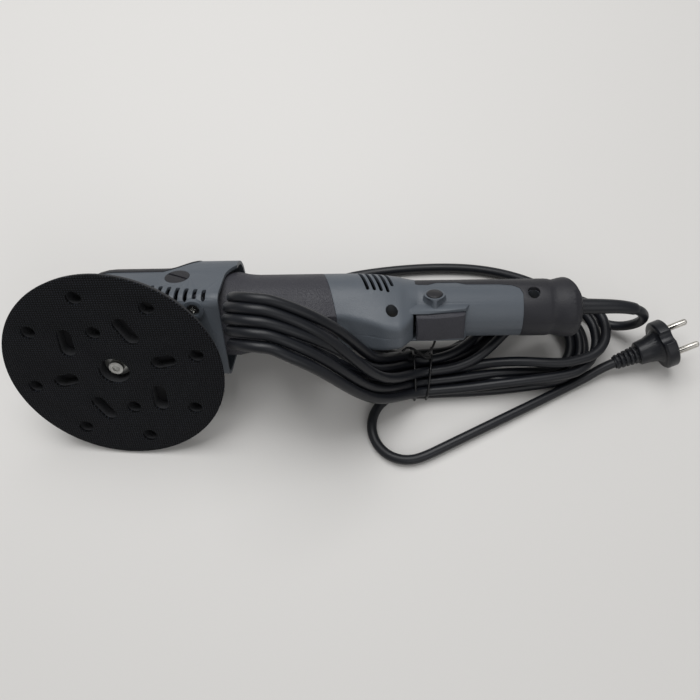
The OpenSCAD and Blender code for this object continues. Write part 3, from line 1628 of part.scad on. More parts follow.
head_shell();
head_bumper();
socket_plugs();
shell_screws();
gear_case();
bearing_plate();
plate_screws();
lower_bearing();
upper_bearing();
ring_gear();
spindle_shaft();
counterweight();
pad_bearing();
pad_hub();
pad_plate();
pad_foam();
pad_hook();
pad_washer();
pad_screw();
motor_barrel();
stator_core();
stator_coils();
front_bearing();
rear_bearing();
brush_carrier();
brush_boxes();
carbon_brushes();
brush_springs();
armature_shaft();
armature_core();
armature_coils();
commutator();
cooling_fan();
pinion_gear();
handle_left();
handle_right();
grip_left();
grip_right();
handle_screws();
switch_module();
speed_board();
cord_clamp();
clamp_screws();
trigger();
trigger_pin();
lock_button();
speed_dial();
cord_sleeve();
cord_inner();
cord_tail();
cord_hank();
cord_tie();
cord_lead();
plug_relief();
plug_body();
plug_pins();
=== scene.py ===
import json
from math import acos, atan2, cos, degrees, floor, hypot, pi, radians, sin

import bpy
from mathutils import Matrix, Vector


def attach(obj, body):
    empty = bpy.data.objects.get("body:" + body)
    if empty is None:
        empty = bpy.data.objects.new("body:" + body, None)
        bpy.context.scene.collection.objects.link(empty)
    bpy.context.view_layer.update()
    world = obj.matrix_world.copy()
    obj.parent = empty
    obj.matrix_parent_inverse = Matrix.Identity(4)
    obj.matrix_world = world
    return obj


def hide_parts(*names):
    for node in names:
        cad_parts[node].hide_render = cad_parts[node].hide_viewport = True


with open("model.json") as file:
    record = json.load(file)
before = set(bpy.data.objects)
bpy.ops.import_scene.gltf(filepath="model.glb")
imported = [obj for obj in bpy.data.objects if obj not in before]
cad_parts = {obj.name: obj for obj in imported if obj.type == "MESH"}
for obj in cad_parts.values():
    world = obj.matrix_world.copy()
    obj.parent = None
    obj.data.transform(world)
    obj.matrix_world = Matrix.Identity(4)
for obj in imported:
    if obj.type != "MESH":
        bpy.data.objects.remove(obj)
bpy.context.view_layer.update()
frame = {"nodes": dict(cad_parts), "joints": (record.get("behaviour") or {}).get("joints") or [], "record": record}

# Table top: a plain pale laminate that the tool lies on. It reaches far past the picture on
# every side, so that no edge shows from any angle.
table_colour = (0.64, 0.63, 0.615)
bpy.ops.object.select_all(action="DESELECT")
bpy.ops.mesh.primitive_plane_add(size=7, location=(0, 0, -0.0004))
table = bpy.context.object
table.name = "table_top"
laminate = bpy.data.materials.new("pale_laminate")
laminate.use_nodes = True
laminate_shader = laminate.node_tree.nodes["Principled BSDF"]
laminate_shader.inputs["Base Color"].default_value = (*table_colour, 1)
laminate_shader.inputs["Roughness"].default_value = 0.55
table.data.materials.append(laminate)

# Room light: a wide soft lamp above and behind the table, a weaker one in front of it, and an
# even glow from white walls all round.
lamps = {
    "ceiling_lamp": ((-0.25, 0.75, 1.75), (0.05, 0.0, 0.0), 1.5, 33),
    "front_lamp": ((0.9, -1.5, 1.5), (0.0, 0.0, 0.05), 1.4, 8),
}
for lamp_name, (place, aim, width, watts) in lamps.items():
    bpy.ops.object.light_add(type="AREA", location=place)
    lamp = bpy.context.object
    lamp.name = lamp_name
    lamp.data.size = width
    lamp.data.energy = watts
    lamp.rotation_euler = (Vector(aim) - Vector(place)).to_track_quat("-Z", "Y").to_euler()
room = bpy.data.worlds.new("white_room")
room.use_nodes = True
room.node_tree.nodes["Background"].inputs["Color"].default_value = (1.0, 0.995, 0.985, 1)
room.node_tree.nodes["Background"].inputs["Strength"].default_value = 0.29
bpy.context.scene.world = room
bpy.context.scene.view_settings.view_transform = "Standard"

# Camera: held over the front of the table and tipped down at the tool, close to it, with the
# wide lens of a pocket camera.
bpy.ops.object.camera_add(location=(0.03761, -0.17016, 0.51743))
camera = bpy.context.object
camera.rotation_euler = (radians(19.684), radians(0.012), radians(0.583))
camera.data.lens = 36
camera.data.sensor_width = 36
camera.data.clip_start = 0.01
bpy.context.scene.camera = camera

# Mains cord: one rubber-sheathed lead. It leaves the handle through a sleeve, doubles back behind
# the tool, is folded to and fro into a tied hank and runs on from the hank to the plug.
# Points are in metres from the foot of the spindle point on the table.
cord_d = 0.0074
cord_r = cord_d / 2
joints = {joint["name"]: joint for joint in frame["joints"]}
spindle_point = Vector(joints["spindle_spin"]["pos_m"])
spindle_dir = Vector(joints["spindle_spin"]["axis"])
handle_dir = Vector(joints["armature_spin"]["axis"])
handle_reach = 0.323
handle_end = spindle_point + handle_reach * handle_dir
foot = Vector((spindle_point.x, spindle_point.y, 0))

# From the sleeve down to the table and back behind the handle to the hank
tail_points = [
    (0.3441, 0.0, 0.0529), (0.3551, -0.0001, 0.0525), (0.3667, -0.0003, 0.0492), (0.3755, -0.0006, 0.0405),
    (0.3789, -0.0006, 0.0285), (0.3755, 0.0002, 0.0164), (0.3667, 0.0022, 0.0076), (0.3556, 0.0068, 0.004),
    (0.3451, 0.0138, 0.0037), (0.3351, 0.0222, 0.0037), (0.3241, 0.0306, 0.0037), (0.3116, 0.0382, 0.0037),
    (0.2971, 0.0446, 0.0037), (0.2796, 0.0498, 0.0037), (0.2596, 0.0532, 0.0037), (0.2366, 0.0542, 0.0037),
    (0.2136, 0.0532, 0.0037), (0.1916, 0.051, 0.0037), (0.1716, 0.048, 0.0037), (0.1531, 0.0442, 0.0037),
    (0.1391, 0.0366, 0.0037), (0.1308, 0.0252, 0.0037), (0.1298, 0.0116, 0.0037), (0.1366, -0.001, 0.0037),
    (0.1486, -0.0094, 0.0037), (0.1646, -0.0148, 0.005), (0.1826, -0.02, 0.0086)]

# From the hank round one open bend to the plug
lead_points = [
    (0.1961, -0.0526, 0.0037), (0.1857, -0.0569, 0.0037), (0.1781, -0.0652, 0.0037),
    (0.1747, -0.0759, 0.0037), (0.1762, -0.0871, 0.0037), (0.1822, -0.0966, 0.0037),
    (0.1917, -0.1026, 0.0037), (0.2029, -0.1041, 0.0037), (0.2131, -0.1014, 0.0037),
    (0.2266, -0.0948, 0.0037), (0.2416, -0.0874, 0.0037), (0.2566, -0.08, 0.0037),
    (0.2716, -0.0726, 0.0037), (0.2866, -0.0652, 0.0037), (0.3016, -0.0578, 0.0037),
    (0.3166, -0.0503, 0.0037), (0.3306, -0.0433, 0.0044), (0.3416, -0.0378, 0.0064)]

# Middle line of the hank, from its raised end, which leans on the barrel, to its end on the table:
# x, y, z and the lean of its layers in degrees
hank_line = [
    (0.1055, -0.034, 0.0945, 22), (0.1185, -0.0385, 0.0908, 22), (0.1305, -0.0435, 0.0828, 21),
    (0.1425, -0.0485, 0.0715, 18), (0.1552, -0.053, 0.058, 13), (0.169, -0.0545, 0.0415, 7),
    (0.1845, -0.0475, 0.0228, 2), (0.2027, -0.039, 0.0056, 0), (0.2227, -0.0374, 0.004, 0),
    (0.2427, -0.0344, 0.0038, 0), (0.2626, -0.0274, 0.0037, 0), (0.2846, -0.0184, 0.0037, 0),
    (0.3086, -0.0119, 0.0037, 0)]
raised_dir = Vector((0.963, 0, -0.27))
tie_stations = (7, 8)
narrow_from = 6.4

# Place of each pass under the tie, in cord widths across and layers up
passes = [
    (-1, 2), (0, 0), (-2, 1), (1, 0), (0.2, 2), (0, 1), (-1, 1), (1, 1), (-1, 0), (2, 1), (-2, 0), (2, 0)]

# Flat folds on the table: reach past the last station, radius, layer, and how late the two strands part.
# A strand is on its layer before it is fully out, and a long fold starts from one more point.
tight, wide = 0.0244, 0.0318
layer_lead = 1.3
long_reach = 0.012
table_folds = [
    (-0.005, wide, 1, 1), (0.001, tight, 0, 1.3), (0.019, tight, 3, 1.9), (-0.005, tight, 1, 1.6),
    (0.006, wide, 2, 1.2), (0.001, wide, 0, 1)]

# Upright folds at the raised end: reach, cord widths across, and 1 where the upper strand runs on to
# the table
raised_r = 0.0232
raised_folds = [(-0.002, -2.1, 1), (-0.004, -1.2, 1), (-0.004, -0.2, 1), (-0.0015, 0.8, -1), (0.001, 1.9, -1)]


def in_hank(station, reach, across, up):
    """Point of the hank at a station: along its line, across its width and up through its layers."""
    before = Vector(hank_line[max(station - 1, 0)][:3])
    after = Vector(hank_line[min(station + 1, len(hank_line) - 1)][:3])
    along = (after - before).normalized() if station else raised_dir.normalized()
    lean = radians(hank_line[station][3])
    side = Vector((0, -cos(lean), -sin(lean)))
    side = (side - side.dot(along) * along).normalized()
    return foot + Vector(hank_line[station][:3]) + reach * along + across * side + up * side.cross(along)


def eased(share):
    """Smooth step from 0 to 1 as the share goes from 0 to 1."""
    return (1 - cos(pi * min(max(share, 0), 1))) / 2


def hank_pass(number):
    """Points of one pass between two folds, opening out from the tie to each fold."""
    to_table = number % 2 == 0
    turn = -1 if to_table else 1
    raised = raised_folds[(number - 1) // 2] if 0 < number < len(passes) - 1 else None
    flat = table_folds[number // 2]
    across, layer = passes[number][0] * cord_d, passes[number][1] * cord_d
    last = len(hank_line) - 1
    points = []
    for station in range(0 if raised else tie_stations[0], last + 1):
        reach, w, h = 0, across, layer
        if station < tie_stations[0]:
            open_by = eased((narrow_from - station) / narrow_from)
            w += (raised[1] * cord_d - across) * open_by
            h += (-turn * raised[2] * raised_r - layer) * open_by
            reach = 0 if station else raised[0]
        elif station > tie_stations[1]:
            share = (station - tie_stations[1]) / (last - tie_stations[1])
            w += (turn * flat[1] - across) * eased(share ** flat[3])
            h += (flat[2] * cord_d - layer) * eased((layer_lead * share) ** flat[3])
            reach = flat[0] if station == last and flat[0] < long_reach else 0
        points.append(in_hank(station, reach, w, h))
    if flat[0] > long_reach:
        points.append(in_hank(last, flat[0], turn * flat[1], flat[2] * cord_d))
    return points if to_table else points[::-1]


def hank_fold(number):
    """Points of the fold after a pass: half a turn, flat on the table or upright at the raised end."""
    steps = 11
    points = []
    for k in range(1, steps):
        angle = radians(180 * k / steps - 90)
        if number % 2 == 0:
            reach, radius, layer = table_folds[number // 2][:3]
            across, up = radius * sin(angle), layer * cord_d
            points.append(in_hank(len(hank_line) - 1, reach + radius * cos(angle), across, up))
        else:
            reach, widths, way = raised_folds[number // 2]
            across, up = widths * cord_d, way * raised_r * sin(angle)
            points.append(in_hank(0, reach - raised_r * cos(angle), across, up))
    return points


plug_front = foot + Vector((0.3996, -0.0144, 0.01997))
plug_yaw, plug_tilt = radians(20), radians(12)
plug_dir = Vector((cos(plug_yaw) * cos(plug_tilt), sin(plug_yaw) * cos(plug_tilt), sin(plug_tilt)))
plug_len = 0.043

cord_points = [handle_end - 0.006 * handle_dir, handle_end + 0.006 * handle_dir]
cord_points += [foot + Vector(p) for p in tail_points]
for number in range(len(passes)):
    cord_points += hank_pass(number)
    if number < len(passes) - 1:
        cord_points += hank_fold(number)
cord_points += [foot + Vector(p) for p in lead_points]
cord_points += [plug_front - (plug_len + 0.01) * plug_dir, plug_front - plug_len * plug_dir]

cord_curve = bpy.data.curves.new("mains_cord", "CURVE")
cord_curve.dimensions = "3D"
cord_line = cord_curve.splines.new("NURBS")
cord_line.points.add(len(cord_points) - 1)
for knot, point in zip(cord_line.points, cord_points):
    knot.co = (*point, 1)
cord_line.order_u = 4
cord_line.use_endpoint_u = True
cord_line.resolution_u = 6
cord_curve.bevel_depth = cord_r
cord_curve.bevel_resolution = 5
cord_curve.use_fill_caps = True
mains_cord = bpy.data.objects.new("mains_cord", cord_curve)
bpy.context.scene.collection.objects.link(mains_cord)


def fine_grain_group():
    """Grain of a moulded surface: close pits, and slow clouds where hands have rubbed it smoother."""
    group = bpy.data.node_groups.new("fine_grain", "ShaderNodeTree")
    group.interface.new_socket("Pits per metre", in_out="INPUT", socket_type="NodeSocketFloat")
    group.interface.new_socket("Height", in_out="OUTPUT", socket_type="NodeSocketFloat")
    group.interface.new_socket("Cloud", in_out="OUTPUT", socket_type="NodeSocketFloat")
    entry = group.nodes.new("NodeGroupInput")
    leave = group.nodes.new("NodeGroupOutput")
    where = group.nodes.new("ShaderNodeTexCoord")
    pits = group.nodes.new("ShaderNodeTexNoise")
    pits.inputs["Detail"].default_value = 2
    cloud = group.nodes.new("ShaderNodeTexNoise")
    cloud.inputs["Scale"].default_value = 38
    cloud.inputs["Detail"].default_value = 3
    group.links.new(where.outputs["Object"], pits.inputs["Vector"])
    group.links.new(where.outputs["Object"], cloud.inputs["Vector"])
    group.links.new(entry.outputs["Pits per metre"], pits.inputs["Scale"])
    group.links.new(pits.outputs["Fac"], leave.inputs["Height"])
    group.links.new(cloud.outputs["Fac"], leave.inputs["Cloud"])
    return group


fine_grain = fine_grain_group()


def moulded(name, colour, gloss, pits=1500, depth=0.0001, metal=0.0):
    """Finish of a moulded or machined piece. gloss is the range that its roughness drifts through."""
    material = bpy.data.materials.new(name)
    material.use_nodes = True
    nodes, links = material.node_tree.nodes, material.node_tree.links
    shader = nodes["Principled BSDF"]
    shader.inputs["Base Color"].default_value = (*colour, 1)
    shader.inputs["Metallic"].default_value = metal
    shader.inputs["Specular IOR Level"].default_value = 0.5 if metal else 0.36
    grain = nodes.new("ShaderNodeGroup")
    grain.node_tree = fine_grain
    grain.inputs["Pits per metre"].default_value = pits
    rub = nodes.new("ShaderNodeMapRange")
    rub.inputs["From Min"].default_value = 0.3
    rub.inputs["From Max"].default_value = 0.7
    rub.inputs["To Min"].default_value = gloss[0]
    rub.inputs["To Max"].default_value = gloss[1]
    bump = nodes.new("ShaderNodeBump")
    bump.inputs["Distance"].default_value = depth
    links.new(grain.outputs["Cloud"], rub.inputs["Value"])
    links.new(rub.outputs["Result"], shader.inputs["Roughness"])
    links.new(grain.outputs["Height"], bump.inputs["Height"])
    links.new(bump.outputs["Normal"], shader.inputs["Normal"])
    return material


cord_rubber = moulded("cord_rubber", (0.0065, 0.0075, 0.0105), (0.34, 0.46), 2200, 0.00005)
cord_curve.materials.append(cord_rubber)
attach(mains_cord, "housing")
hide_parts("cord_tail", "cord_hank", "cord_lead")

# Cord sleeve: a soft rubber boot, thick where it leaves the handle and thin at its free end. It is
# moulded on the cord, follows its bend, and its hidden flange is trapped between the handle shells.
sleeve_r = 0.0062
sleeve_knots = 4


def line_at(knots, u):
    """Point at place u of the smooth line that the cord follows through its knots."""
    i = min(floor(u), len(knots) - 2)
    s = u - i
    b, c = knots[i], knots[i + 1]
    a = knots[i - 1] if i else 2 * b - c
    d = knots[i + 2]
    return ((1 - s) ** 3 * a + (3 * s ** 3 - 6 * s * s + 4) * b
            + (1 + 3 * s + 3 * s * s - 3 * s ** 3) * c + s ** 3 * d) / 6


sleeve_steps = 24
sleeve_curve = bpy.data.curves.new("cord_sleeve_boot", "CURVE")
sleeve_curve.dimensions = "3D"
sleeve_line = sleeve_curve.splines.new("POLY")
sleeve_line.points.add(sleeve_steps)
for k, knot in enumerate(sleeve_line.points):
    share = k / sleeve_steps
    knot.co = (*line_at(cord_points, sleeve_knots * share), 1)
    knot.radius = sleeve_r - (sleeve_r - cord_r - 0.0007) * share
    if k == sleeve_steps:
        knot.radius -= 0.0005
sleeve_curve.bevel_depth = 1
sleeve_curve.bevel_resolution = 6
sleeve_curve.use_fill_caps = True
cord_sleeve = bpy.data.objects.new("cord_sleeve_boot", sleeve_curve)
bpy.context.scene.collection.objects.link(cord_sleeve)
bpy.ops.object.select_all(action="DESELECT")
bpy.context.view_layer.objects.active = cord_sleeve
cord_sleeve.select_set(True)
bpy.ops.object.convert(target="MESH")
cord_sleeve = bpy.context.object
bpy.ops.object.shade_smooth_by_angle(angle=radians(40))
cord_sleeve.data.materials.append(cord_rubber)
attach(cord_sleeve, "housing")
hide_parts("cord_sleeve")

# Plug: a two-pin plug moulded straight onto the cord in the same rubber, with finger notches in its
# round front, a ribbed strain relief behind it, and two solid brass pins.
body_of = {node: body for body, nodes in frame["record"]["behaviour"]["bodies"].items() for node in nodes}


def dress(node, material, edge=0.0, crease=32, shape=None, seam=None):
    """Piece made from a solid: joined up, shaped, its sharp edges broken by edge metres, and shaded smooth.
    The broken edges take the seam material, a painted near-black shade, if there is one."""
    bpy.ops.object.select_all(action="DESELECT")
    piece = bpy.data.objects.new(node + "_piece", frame["nodes"][node].data.copy())
    bpy.context.scene.collection.objects.link(piece)
    bpy.context.view_layer.objects.active = piece
    piece.select_set(True)
    piece.data.materials.clear()
    piece.data.materials.append(material)
    bpy.ops.object.mode_set(mode="EDIT")
    bpy.ops.mesh.select_all(action="SELECT")
    bpy.ops.mesh.remove_doubles(threshold=0.00001)
    if not shape:
        bpy.ops.mesh.dissolve_limited(angle_limit=radians(0.6))
    bpy.ops.object.mode_set(mode="OBJECT")
    if shape:
        shape(piece)
    if edge:
        rounding = piece.modifiers.new("broken_edges", "BEVEL")
        rounding.width = edge
        rounding.segments = 2
        rounding.limit_method = "ANGLE"
        rounding.angle_limit = radians(crease)
        rounding.miter_outer = "MITER_ARC"
        if seam:
            piece.data.materials.append(seam)
            rounding.material = len(piece.data.materials) - 1
        bpy.ops.object.modifier_apply(modifier=rounding.name)
    bpy.ops.object.shade_smooth_by_angle(angle=radians(crease))
    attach(piece, body_of[node])
    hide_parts(node)
    return piece


pin_nickel = moulded("pin_nickel", (0.62, 0.6, 0.56), (0.24, 0.36), 900, 0.00001, 1.0)
plug_body = dress("plug_body", cord_rubber, 0.0006)
plug_relief = dress("plug_relief", cord_rubber)
plug_pins = dress("plug_pins", pin_nickel)

# Wire tie: a plastic-covered twist wire, two turns drawn tight round the waist of the hank. Its ends are
# twisted together on top and stand up.
tie_r = 0.0009
tie_xs = (0.2066, 0.2186)
tie_plastic = moulded("tie_plastic", (0.006, 0.006, 0.007), (0.28, 0.4), 900, 0.00002)
tie_curve = bpy.data.curves.new("cord_tie_wire", "CURVE")
tie_curve.dimensions = "3D"


def wire(points, closed=False):
    """One length of the tie's wire through the given points."""
    line = tie_curve.splines.new("NURBS")
    line.points.add(len(points) - 1)
    for knot, point in zip(line.points, points):
        knot.co = (*point, 1)
    line.order_u = 3
    line.use_cyclic_u = closed
    line.use_endpoint_u = not closed
    line.resolution_u = 5


def tie_turn(x, lean):
    """Points of one turn: just outside all the strands, seen along the hank."""
    before, after = (hank_line[station] for station in tie_stations)
    share = (x - before[0]) / (after[0] - before[0])
    middle = Vector(before[:3]).lerp(Vector(after[:3]), share)
    steps = 48
    turn = []
    for k in range(steps):
        angle = 2 * pi * k / steps
        across, layer = max(passes, key=lambda p: p[0] * cos(angle) + p[1] * sin(angle))
        w = across * cord_d + (cord_r + 0.8 * tie_r) * cos(angle)
        h = layer * cord_d + (cord_r + 0.8 * tie_r) * sin(angle)
        turn.append(foot + middle + Vector((lean * w, -w, max(h, tie_r - middle.z))))
    return turn


turns = [tie_turn(tie_xs[0], 0.06), tie_turn(tie_xs[1], -0.1)]
for turn in turns:
    wire(turn, True)
crown = (turns[0][13] + turns[1][13]) / 2
standing_end = [
    (-0.003, 0.002, 0.0016), (0.001, 0, 0.003), (0.006, 0.004, 0.004), (0.0085, 0.0095, 0.0085),
    (0.009, 0.012, 0.0165)]
lying_end = [
    (0.003, -0.002, 0.0022), (-0.002, 0.0015, 0.0034), (-0.0075, 0.005, 0.0052), (-0.0125, 0.0065, 0.004),
    (-0.0155, 0.0035, 0.0024)]
wire([turns[0][15]] + [crown + Vector(bend) for bend in standing_end])
wire([turns[1][12]] + [crown + Vector(bend) for bend in lying_end])
tie_curve.bevel_depth = tie_r
tie_curve.bevel_resolution = 3
tie_curve.use_fill_caps = True
cord_tie = bpy.data.objects.new("cord_tie_wire", tie_curve)
bpy.context.scene.collection.objects.link(cord_tie)
bpy.ops.object.select_all(action="DESELECT")
bpy.context.view_layer.objects.active = cord_tie
cord_tie.select_set(True)
bpy.ops.object.convert(target="MESH")
cord_tie = bpy.context.object
bpy.ops.object.shade_smooth_by_angle(angle=radians(50))
cord_tie.data.materials.append(tie_plastic)
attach(cord_tie, body_of["cord_tie"])
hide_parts("cord_tie")

# Gear head inside: die-cast case and bearing plate, ground steel gears, spindle, bearings and the
# forged counterweight that balances the pad's offset.
cast_alloy = moulded("cast_alloy", (0.5, 0.51, 0.52), (0.42, 0.58), 700, 0.0002, 1.0)
ground_steel = moulded("ground_steel", (0.5, 0.5, 0.52), (0.25, 0.4), 2500, 0.00002, 1.0)
zinc_plate = moulded("zinc_plate", (0.58, 0.58, 0.56), (0.24, 0.4), 1600, 0.00002, 1.0)
for node in ("gear_case", "bearing_plate"):
    dress(node, cast_alloy, 0.0003)
for node in ("lower_bearing", "upper_bearing", "ring_gear", "spindle_shaft", "counterweight"):
    dress(node, ground_steel)
screw_edge = 0.00015
dress("plate_screws", zinc_plate, screw_edge)

# Pad: hook fabric glued to a closed-cell foam disc on a stiff plate. Dust holes run right through
# it, and a socket screw in the middle recess holds it to the hub.
foam_black = moulded("foam_black", (0.028, 0.029, 0.032), (0.75, 0.9), 900, 0.0003)
plate_black = moulded("plate_black", (0.012, 0.012, 0.014), (0.5, 0.62))
tool_y = spindle_dir.cross(handle_dir)


def hook_weave(name, dark, light, threads):
    """Woven fabric with rows of stubby hooks both ways: raised and paler where a hook stands."""
    material = bpy.data.materials.new(name)
    material.use_nodes = True
    nodes, links = material.node_tree.nodes, material.node_tree.links
    shader = nodes["Principled BSDF"]
    shader.inputs["Roughness"].default_value = 0.8
    shader.inputs["Specular IOR Level"].default_value = 0.2
    where = nodes.new("ShaderNodeTexCoord")
    rows = []
    for way in (handle_dir + tool_y, handle_dir - tool_y):
        across = nodes.new("ShaderNodeVectorMath")
        across.operation = "DOT_PRODUCT"
        across.inputs[1].default_value = way.normalized() * 2 * pi * threads
        row = nodes.new("ShaderNodeMath")
        row.operation = "SINE"
        links.new(where.outputs["Object"], across.inputs[0])
        links.new(across.outputs["Value"], row.inputs[0])
        rows.append(row)
    hook = nodes.new("ShaderNodeMath")
    hook.operation = "MULTIPLY"
    for row, socket in zip(rows, hook.inputs):
        links.new(row.outputs["Value"], socket)
    tone = nodes.new("ShaderNodeValToRGB")
    tone.color_ramp.elements[0].position = 0.1
    tone.color_ramp.elements[0].color = (*dark, 1)
    tone.color_ramp.elements[1].position = 0.9
    tone.color_ramp.elements[1].color = (*light, 1)
    bump = nodes.new("ShaderNodeBump")
    bump.inputs["Distance"].default_value = 0.0006
    links.new(hook.outputs["Value"], tone.inputs["Fac"])
    links.new(hook.outputs["Value"], bump.inputs["Height"])
    links.new(tone.outputs["Color"], shader.inputs["Base Color"])
    links.new(bump.outputs["Normal"], shader.inputs["Normal"])
    return material


hook_black = hook_weave("hook_black", (0.0016, 0.0019, 0.0028), (0.02, 0.023, 0.031), 420)
for node in ("pad_bearing", "pad_hub"):
    dress(node, ground_steel)
dress("pad_plate", plate_black, 0.0004)
dress("pad_foam", foam_black, 0.0004)
dress("pad_hook", hook_black, 0.0003)
for node in ("pad_washer", "pad_screw"):
    dress(node, zinc_plate, screw_edge)

# Motor: a laminated stator pressed into the barrel, and a wound armature with its fan and commutator
# running in two bearings, fed by brushes in brass boxes.
lamination = moulded("lamination", (0.2, 0.2, 0.21), (0.4, 0.55), 1200, 0.0001, 1.0)
enamel_copper = moulded("enamel_copper", (0.5, 0.2, 0.08), (0.28, 0.42), 1500, 0.0001, 1.0)
brush_brass = moulded("brush_brass", (0.66, 0.5, 0.22), (0.25, 0.4), 1500, 0.00002, 1.0)
graphite = moulded("graphite", (0.03, 0.03, 0.032), (0.45, 0.6))
black_plastic = moulded("black_plastic", (0.013, 0.013, 0.0155), (0.4, 0.52))
for node in ("stator_core", "armature_core"):
    dress(node, lamination)
for node in ("stator_coils", "armature_coils", "commutator"):
    dress(node, enamel_copper)
for node in ("front_bearing", "rear_bearing", "armature_shaft", "pinion_gear", "brush_springs"):
    dress(node, ground_steel)
dress("brush_boxes", brush_brass)
dress("carbon_brushes", graphite)
for node in ("brush_carrier", "cooling_fan"):
    dress(node, black_plastic)

# Motor barrel: a glass-filled moulding with a close spark texture. It carries the stator and is clamped
# between head and handle. Where it meets them, its broken edges are painted near-black as shade in the seam.
charcoal = moulded("charcoal_spark", (0.033, 0.033, 0.041), (0.42, 0.6), 1000, 0.0005)
# Painted shade: a near-black laid on the broken edges at the seams, in place of the shadow in the gap between
# parts.
seam_painted_shade = moulded("seam_painted_shade", (0.004, 0.004, 0.005), (0.6, 0.7))
dress("motor_barrel", charcoal, 0.0008, 32, seam=seam_painted_shade)

# Handle: two satin grey mouldings screwed together over the switch, the speed board and the cord clamp.
# They swell into a keeled chin ahead of the trigger and into a faired boss round the lock button.
board_green = moulded("board_green", (0.02, 0.12, 0.06), (0.35, 0.5))
shell_grey = moulded("shell_grey", (0.085, 0.098, 0.115), (0.38, 0.5), 1300, 0.0002)
yellow_zinc = moulded("yellow_zinc", (0.62, 0.47, 0.2), (0.22, 0.36), 1600, 0.00002, 1.0)
# Painted shade: a near-black grey laid on the shell's faces inside the screw recesses, in place of the shadow down
# in the holes.
recess_painted_shade = moulded("recess_painted_shade", (0.018, 0.021, 0.025), (0.5, 0.6))
dress("switch_module", black_plastic)
dress("speed_board", board_green)
dress("cord_clamp", charcoal)
dress("clamp_screws", zinc_plate, screw_edge)
dress("cord_inner", cord_rubber)
dress("handle_screws", yellow_zinc, screw_edge)

# Sections of the rear housing: place along the tool, height of the middle, radius, and half width and
# depth of the keel
rear_sections = [
    (0.127, -0.004, 0.0281, 0.01405, 0.0271), (0.155, -0.004, 0.0281, 0.01405, 0.0271),
    (0.165, -0.0039, 0.0279, 0.01305, 0.0291), (0.176, -0.0036, 0.0272, 0.01145, 0.03205),
    (0.184, -0.0032, 0.0262, 0.01005, 0.035), (0.19, -0.0026, 0.025, 0.00905, 0.0362),
    (0.195, -0.0018, 0.0238, 0.00865, 0.0364), (0.199, -0.001, 0.0223, 0.00865, 0.033),
    (0.203, -0.0004, 0.0213, 0.00905, 0.027), (0.207, 0, 0.0205, 0.00905, 0.02)]

# Stretch of the chin that is drawn smooth, how far round it from straight down in degrees, and where the
# plain handle starts
smooth_from, smooth_to, smooth_round = 0.144, 0.2068, 112
plain_from = 0.208

# Boss of the lock button: place along the tool and height, radii of its flank, and its depth range
button_place = (0.219, -0.0128)
flank_in_r, flank_out_r = 0.0068, 0.0105
flank_face, flank_foot = -0.0195, -0.008

# Screw recesses, whose faces are painted with shade: place along the tool, height and radius
screw_recesses = [(0.189, -0.027, 0.00432), (0.2885, -0.009, 0.0054)]


def in_tool(point):
    """Place of a point along the tool, across it and up it, from the spindle point."""
    away = point - spindle_point
    return away.dot(handle_dir), away.dot(tool_y), away.dot(spindle_dir)


def rear_section(x):
    """Height of the middle, radius, and half width and depth of the keel of the rear housing at a place."""
    i = max(k for k in range(len(rear_sections) - 1) if rear_sections[k][0] <= x)
    before, low = rear_sections[max(i - 1, 0)], rear_sections[i]
    high, after = rear_sections[i + 1], rear_sections[min(i + 2, len(rear_sections) - 1)]
    step = high[0] - low[0]
    t = (x - low[0]) / step
    values = []
    for k in range(1, 5):
        slope_low = step * (high[k] - before[k]) / (high[0] - before[0])
        slope_high = step * (after[k] - low[k]) / (after[0] - low[0])
        rise = high[k] - low[k]
        values.append(low[k] + t * slope_low + t * t * (3 * rise - 2 * slope_low - slope_high)
                      + t ** 3 * (slope_low + slope_high - 2 * rise))
    return values


def rear_reach(section, angle):
    """How far the rear housing's skin lies from its middle, at an angle in degrees from straight down."""
    middle, r, keel_w, keel_d = section
    corner = hypot(keel_w, keel_d)
    if corner <= r:
        return r
    corner_a = degrees(atan2(keel_w, keel_d))
    tangent_a = corner_a + degrees(acos(r / corner))
    reach = 0
    for spread in range(-4, 5):
        a = abs(angle + spread)
        if a >= tangent_a:
            reach += r
        elif a >= corner_a:
            reach += r / cos(radians(tangent_a - a))
        else:
            reach += max(r, keel_d / cos(radians(a)))
    return reach / 9


def skin_gap(point):
    """Gap from a point to the rear housing's smooth skin, and the way to it from the housing's middle."""
    x, y, z = in_tool(point)
    if not smooth_from < x < smooth_to:
        return None
    section = rear_section(x)
    angle = degrees(atan2(abs(y), section[0] - z))
    reach = hypot(y, z - section[0])
    if angle > smooth_round or reach < 0.004:
        return None
    way = (y * tool_y + (z - section[0]) * spindle_dir) / reach
    return rear_reach(section, angle) - reach, way


def pick_faces(piece, wanted):
    """Go into edit mode with only the wanted faces selected."""
    bpy.ops.object.mode_set(mode="EDIT")
    bpy.ops.mesh.select_mode(type="FACE")
    bpy.ops.mesh.select_all(action="DESELECT")
    bpy.ops.object.mode_set(mode="OBJECT")
    for polygon in piece.data.polygons:
        polygon.select = wanted(polygon)
    bpy.ops.object.mode_set(mode="EDIT")


def on_skin(polygon):
    """Whether a face belongs to the outer skin of the chin."""
    gap = skin_gap(polygon.center)
    return bool(gap) and abs(gap[0]) < 0.0016 and polygon.normal.dot(gap[1]) > 0.3


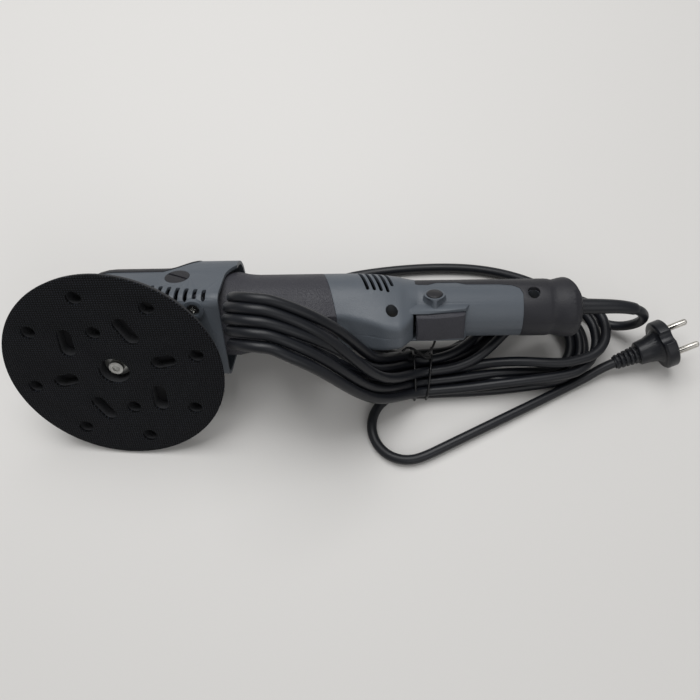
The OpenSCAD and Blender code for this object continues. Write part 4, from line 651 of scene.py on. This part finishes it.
def shape_handle(piece):
    """Draw the chin's creases smooth, fair the boss below the button, and paint shade into the screw recesses."""
    mesh = piece.data
    pick_faces(piece, lambda polygon: in_tool(polygon.center)[0] > plain_from)
    bpy.ops.mesh.dissolve_limited(angle_limit=radians(0.6))
    pick_faces(piece, on_skin)
    bpy.ops.mesh.subdivide(number_cuts=3)
    bpy.ops.object.mode_set(mode="OBJECT")
    skin = {v for polygon in mesh.polygons if polygon.select for v in polygon.vertices}
    for v in skin:
        gap = skin_gap(mesh.vertices[v].co)
        if gap and abs(gap[0]) < 0.002:
            mesh.vertices[v].co += gap[0] * gap[1]
    for vertex in mesh.vertices:
        x, y, z = in_tool(vertex.co)
        out, drop = x - button_place[0], button_place[1] - z
        if flank_in_r < hypot(out, drop) < flank_out_r and drop > 0 and flank_face < y < flank_foot:
            vertex.co -= 0.6 * out * eased(drop / 0.005) * handle_dir
    # Paint shade into the screw recesses: faces within each recess's radius take the near-black painted-shade
    # material.
    mesh.materials.append(recess_painted_shade)
    for polygon in mesh.polygons:
        x, y, z = in_tool(polygon.center)
        for screw_x, screw_z, radius in screw_recesses:
            if hypot(x - screw_x, z - screw_z) < radius:
                polygon.material_index = 1


for node in ("handle_left", "handle_right"):
    dress(node, shell_grey, 0.0004, 50, shape_handle)

# Grip: soft black rubber moulded over the shells, along the top of the handle and round its flared end.
# Each half ends in a rounded lip whose broken edges are painted near-black as shade, a dark line against the grey.
grip_rubber = moulded("grip_rubber", (0.015, 0.0152, 0.0195), (0.46, 0.58), 1500, 0.0002)
for node in ("grip_left", "grip_right"):
    dress(node, grip_rubber, 0.0009, 40, seam=seam_painted_shade)

# Controls: a trigger that rocks on a steel pin, a lock button on the left side and a thumb wheel for the
# speed. All three are hard plastic and sit in openings of the handle shells.
dress("trigger_pin", ground_steel)
dress("trigger", charcoal, 0.0007, 44)
dress("lock_button", black_plastic, 0.0002)
dress("speed_dial", charcoal, 0.0002)

# Head shell: a grey moulding screwed on over the gear case, with air slots down both sides. A rubber bumper
# covers its nose, and two slotted plugs close the sockets for a side handle.
bumper_rubber = moulded("bumper_rubber", (0.014, 0.0142, 0.018), (0.46, 0.58), 1500, 0.0002)
dress("head_shell", shell_grey, 0.0003)
dress("head_bumper", bumper_rubber, 0.0003)
dress("shell_screws", zinc_plate, screw_edge)
plug_axis_at = 0.0379 * handle_dir - 0.0085 * spindle_dir
slot_turn = radians(62)


def turn_slots(piece):
    """Leave each plug's slot where the driver left it, turned about the plug's own axis."""
    for vertex in piece.data.vertices:
        away = vertex.co - spindle_point - plug_axis_at
        around = away - away.dot(tool_y) * tool_y
        vertex.co += cos(slot_turn) * around + sin(slot_turn) * tool_y.cross(around) - around


dress("socket_plugs", bumper_rubber, 0.0002, 32, turn_slots)
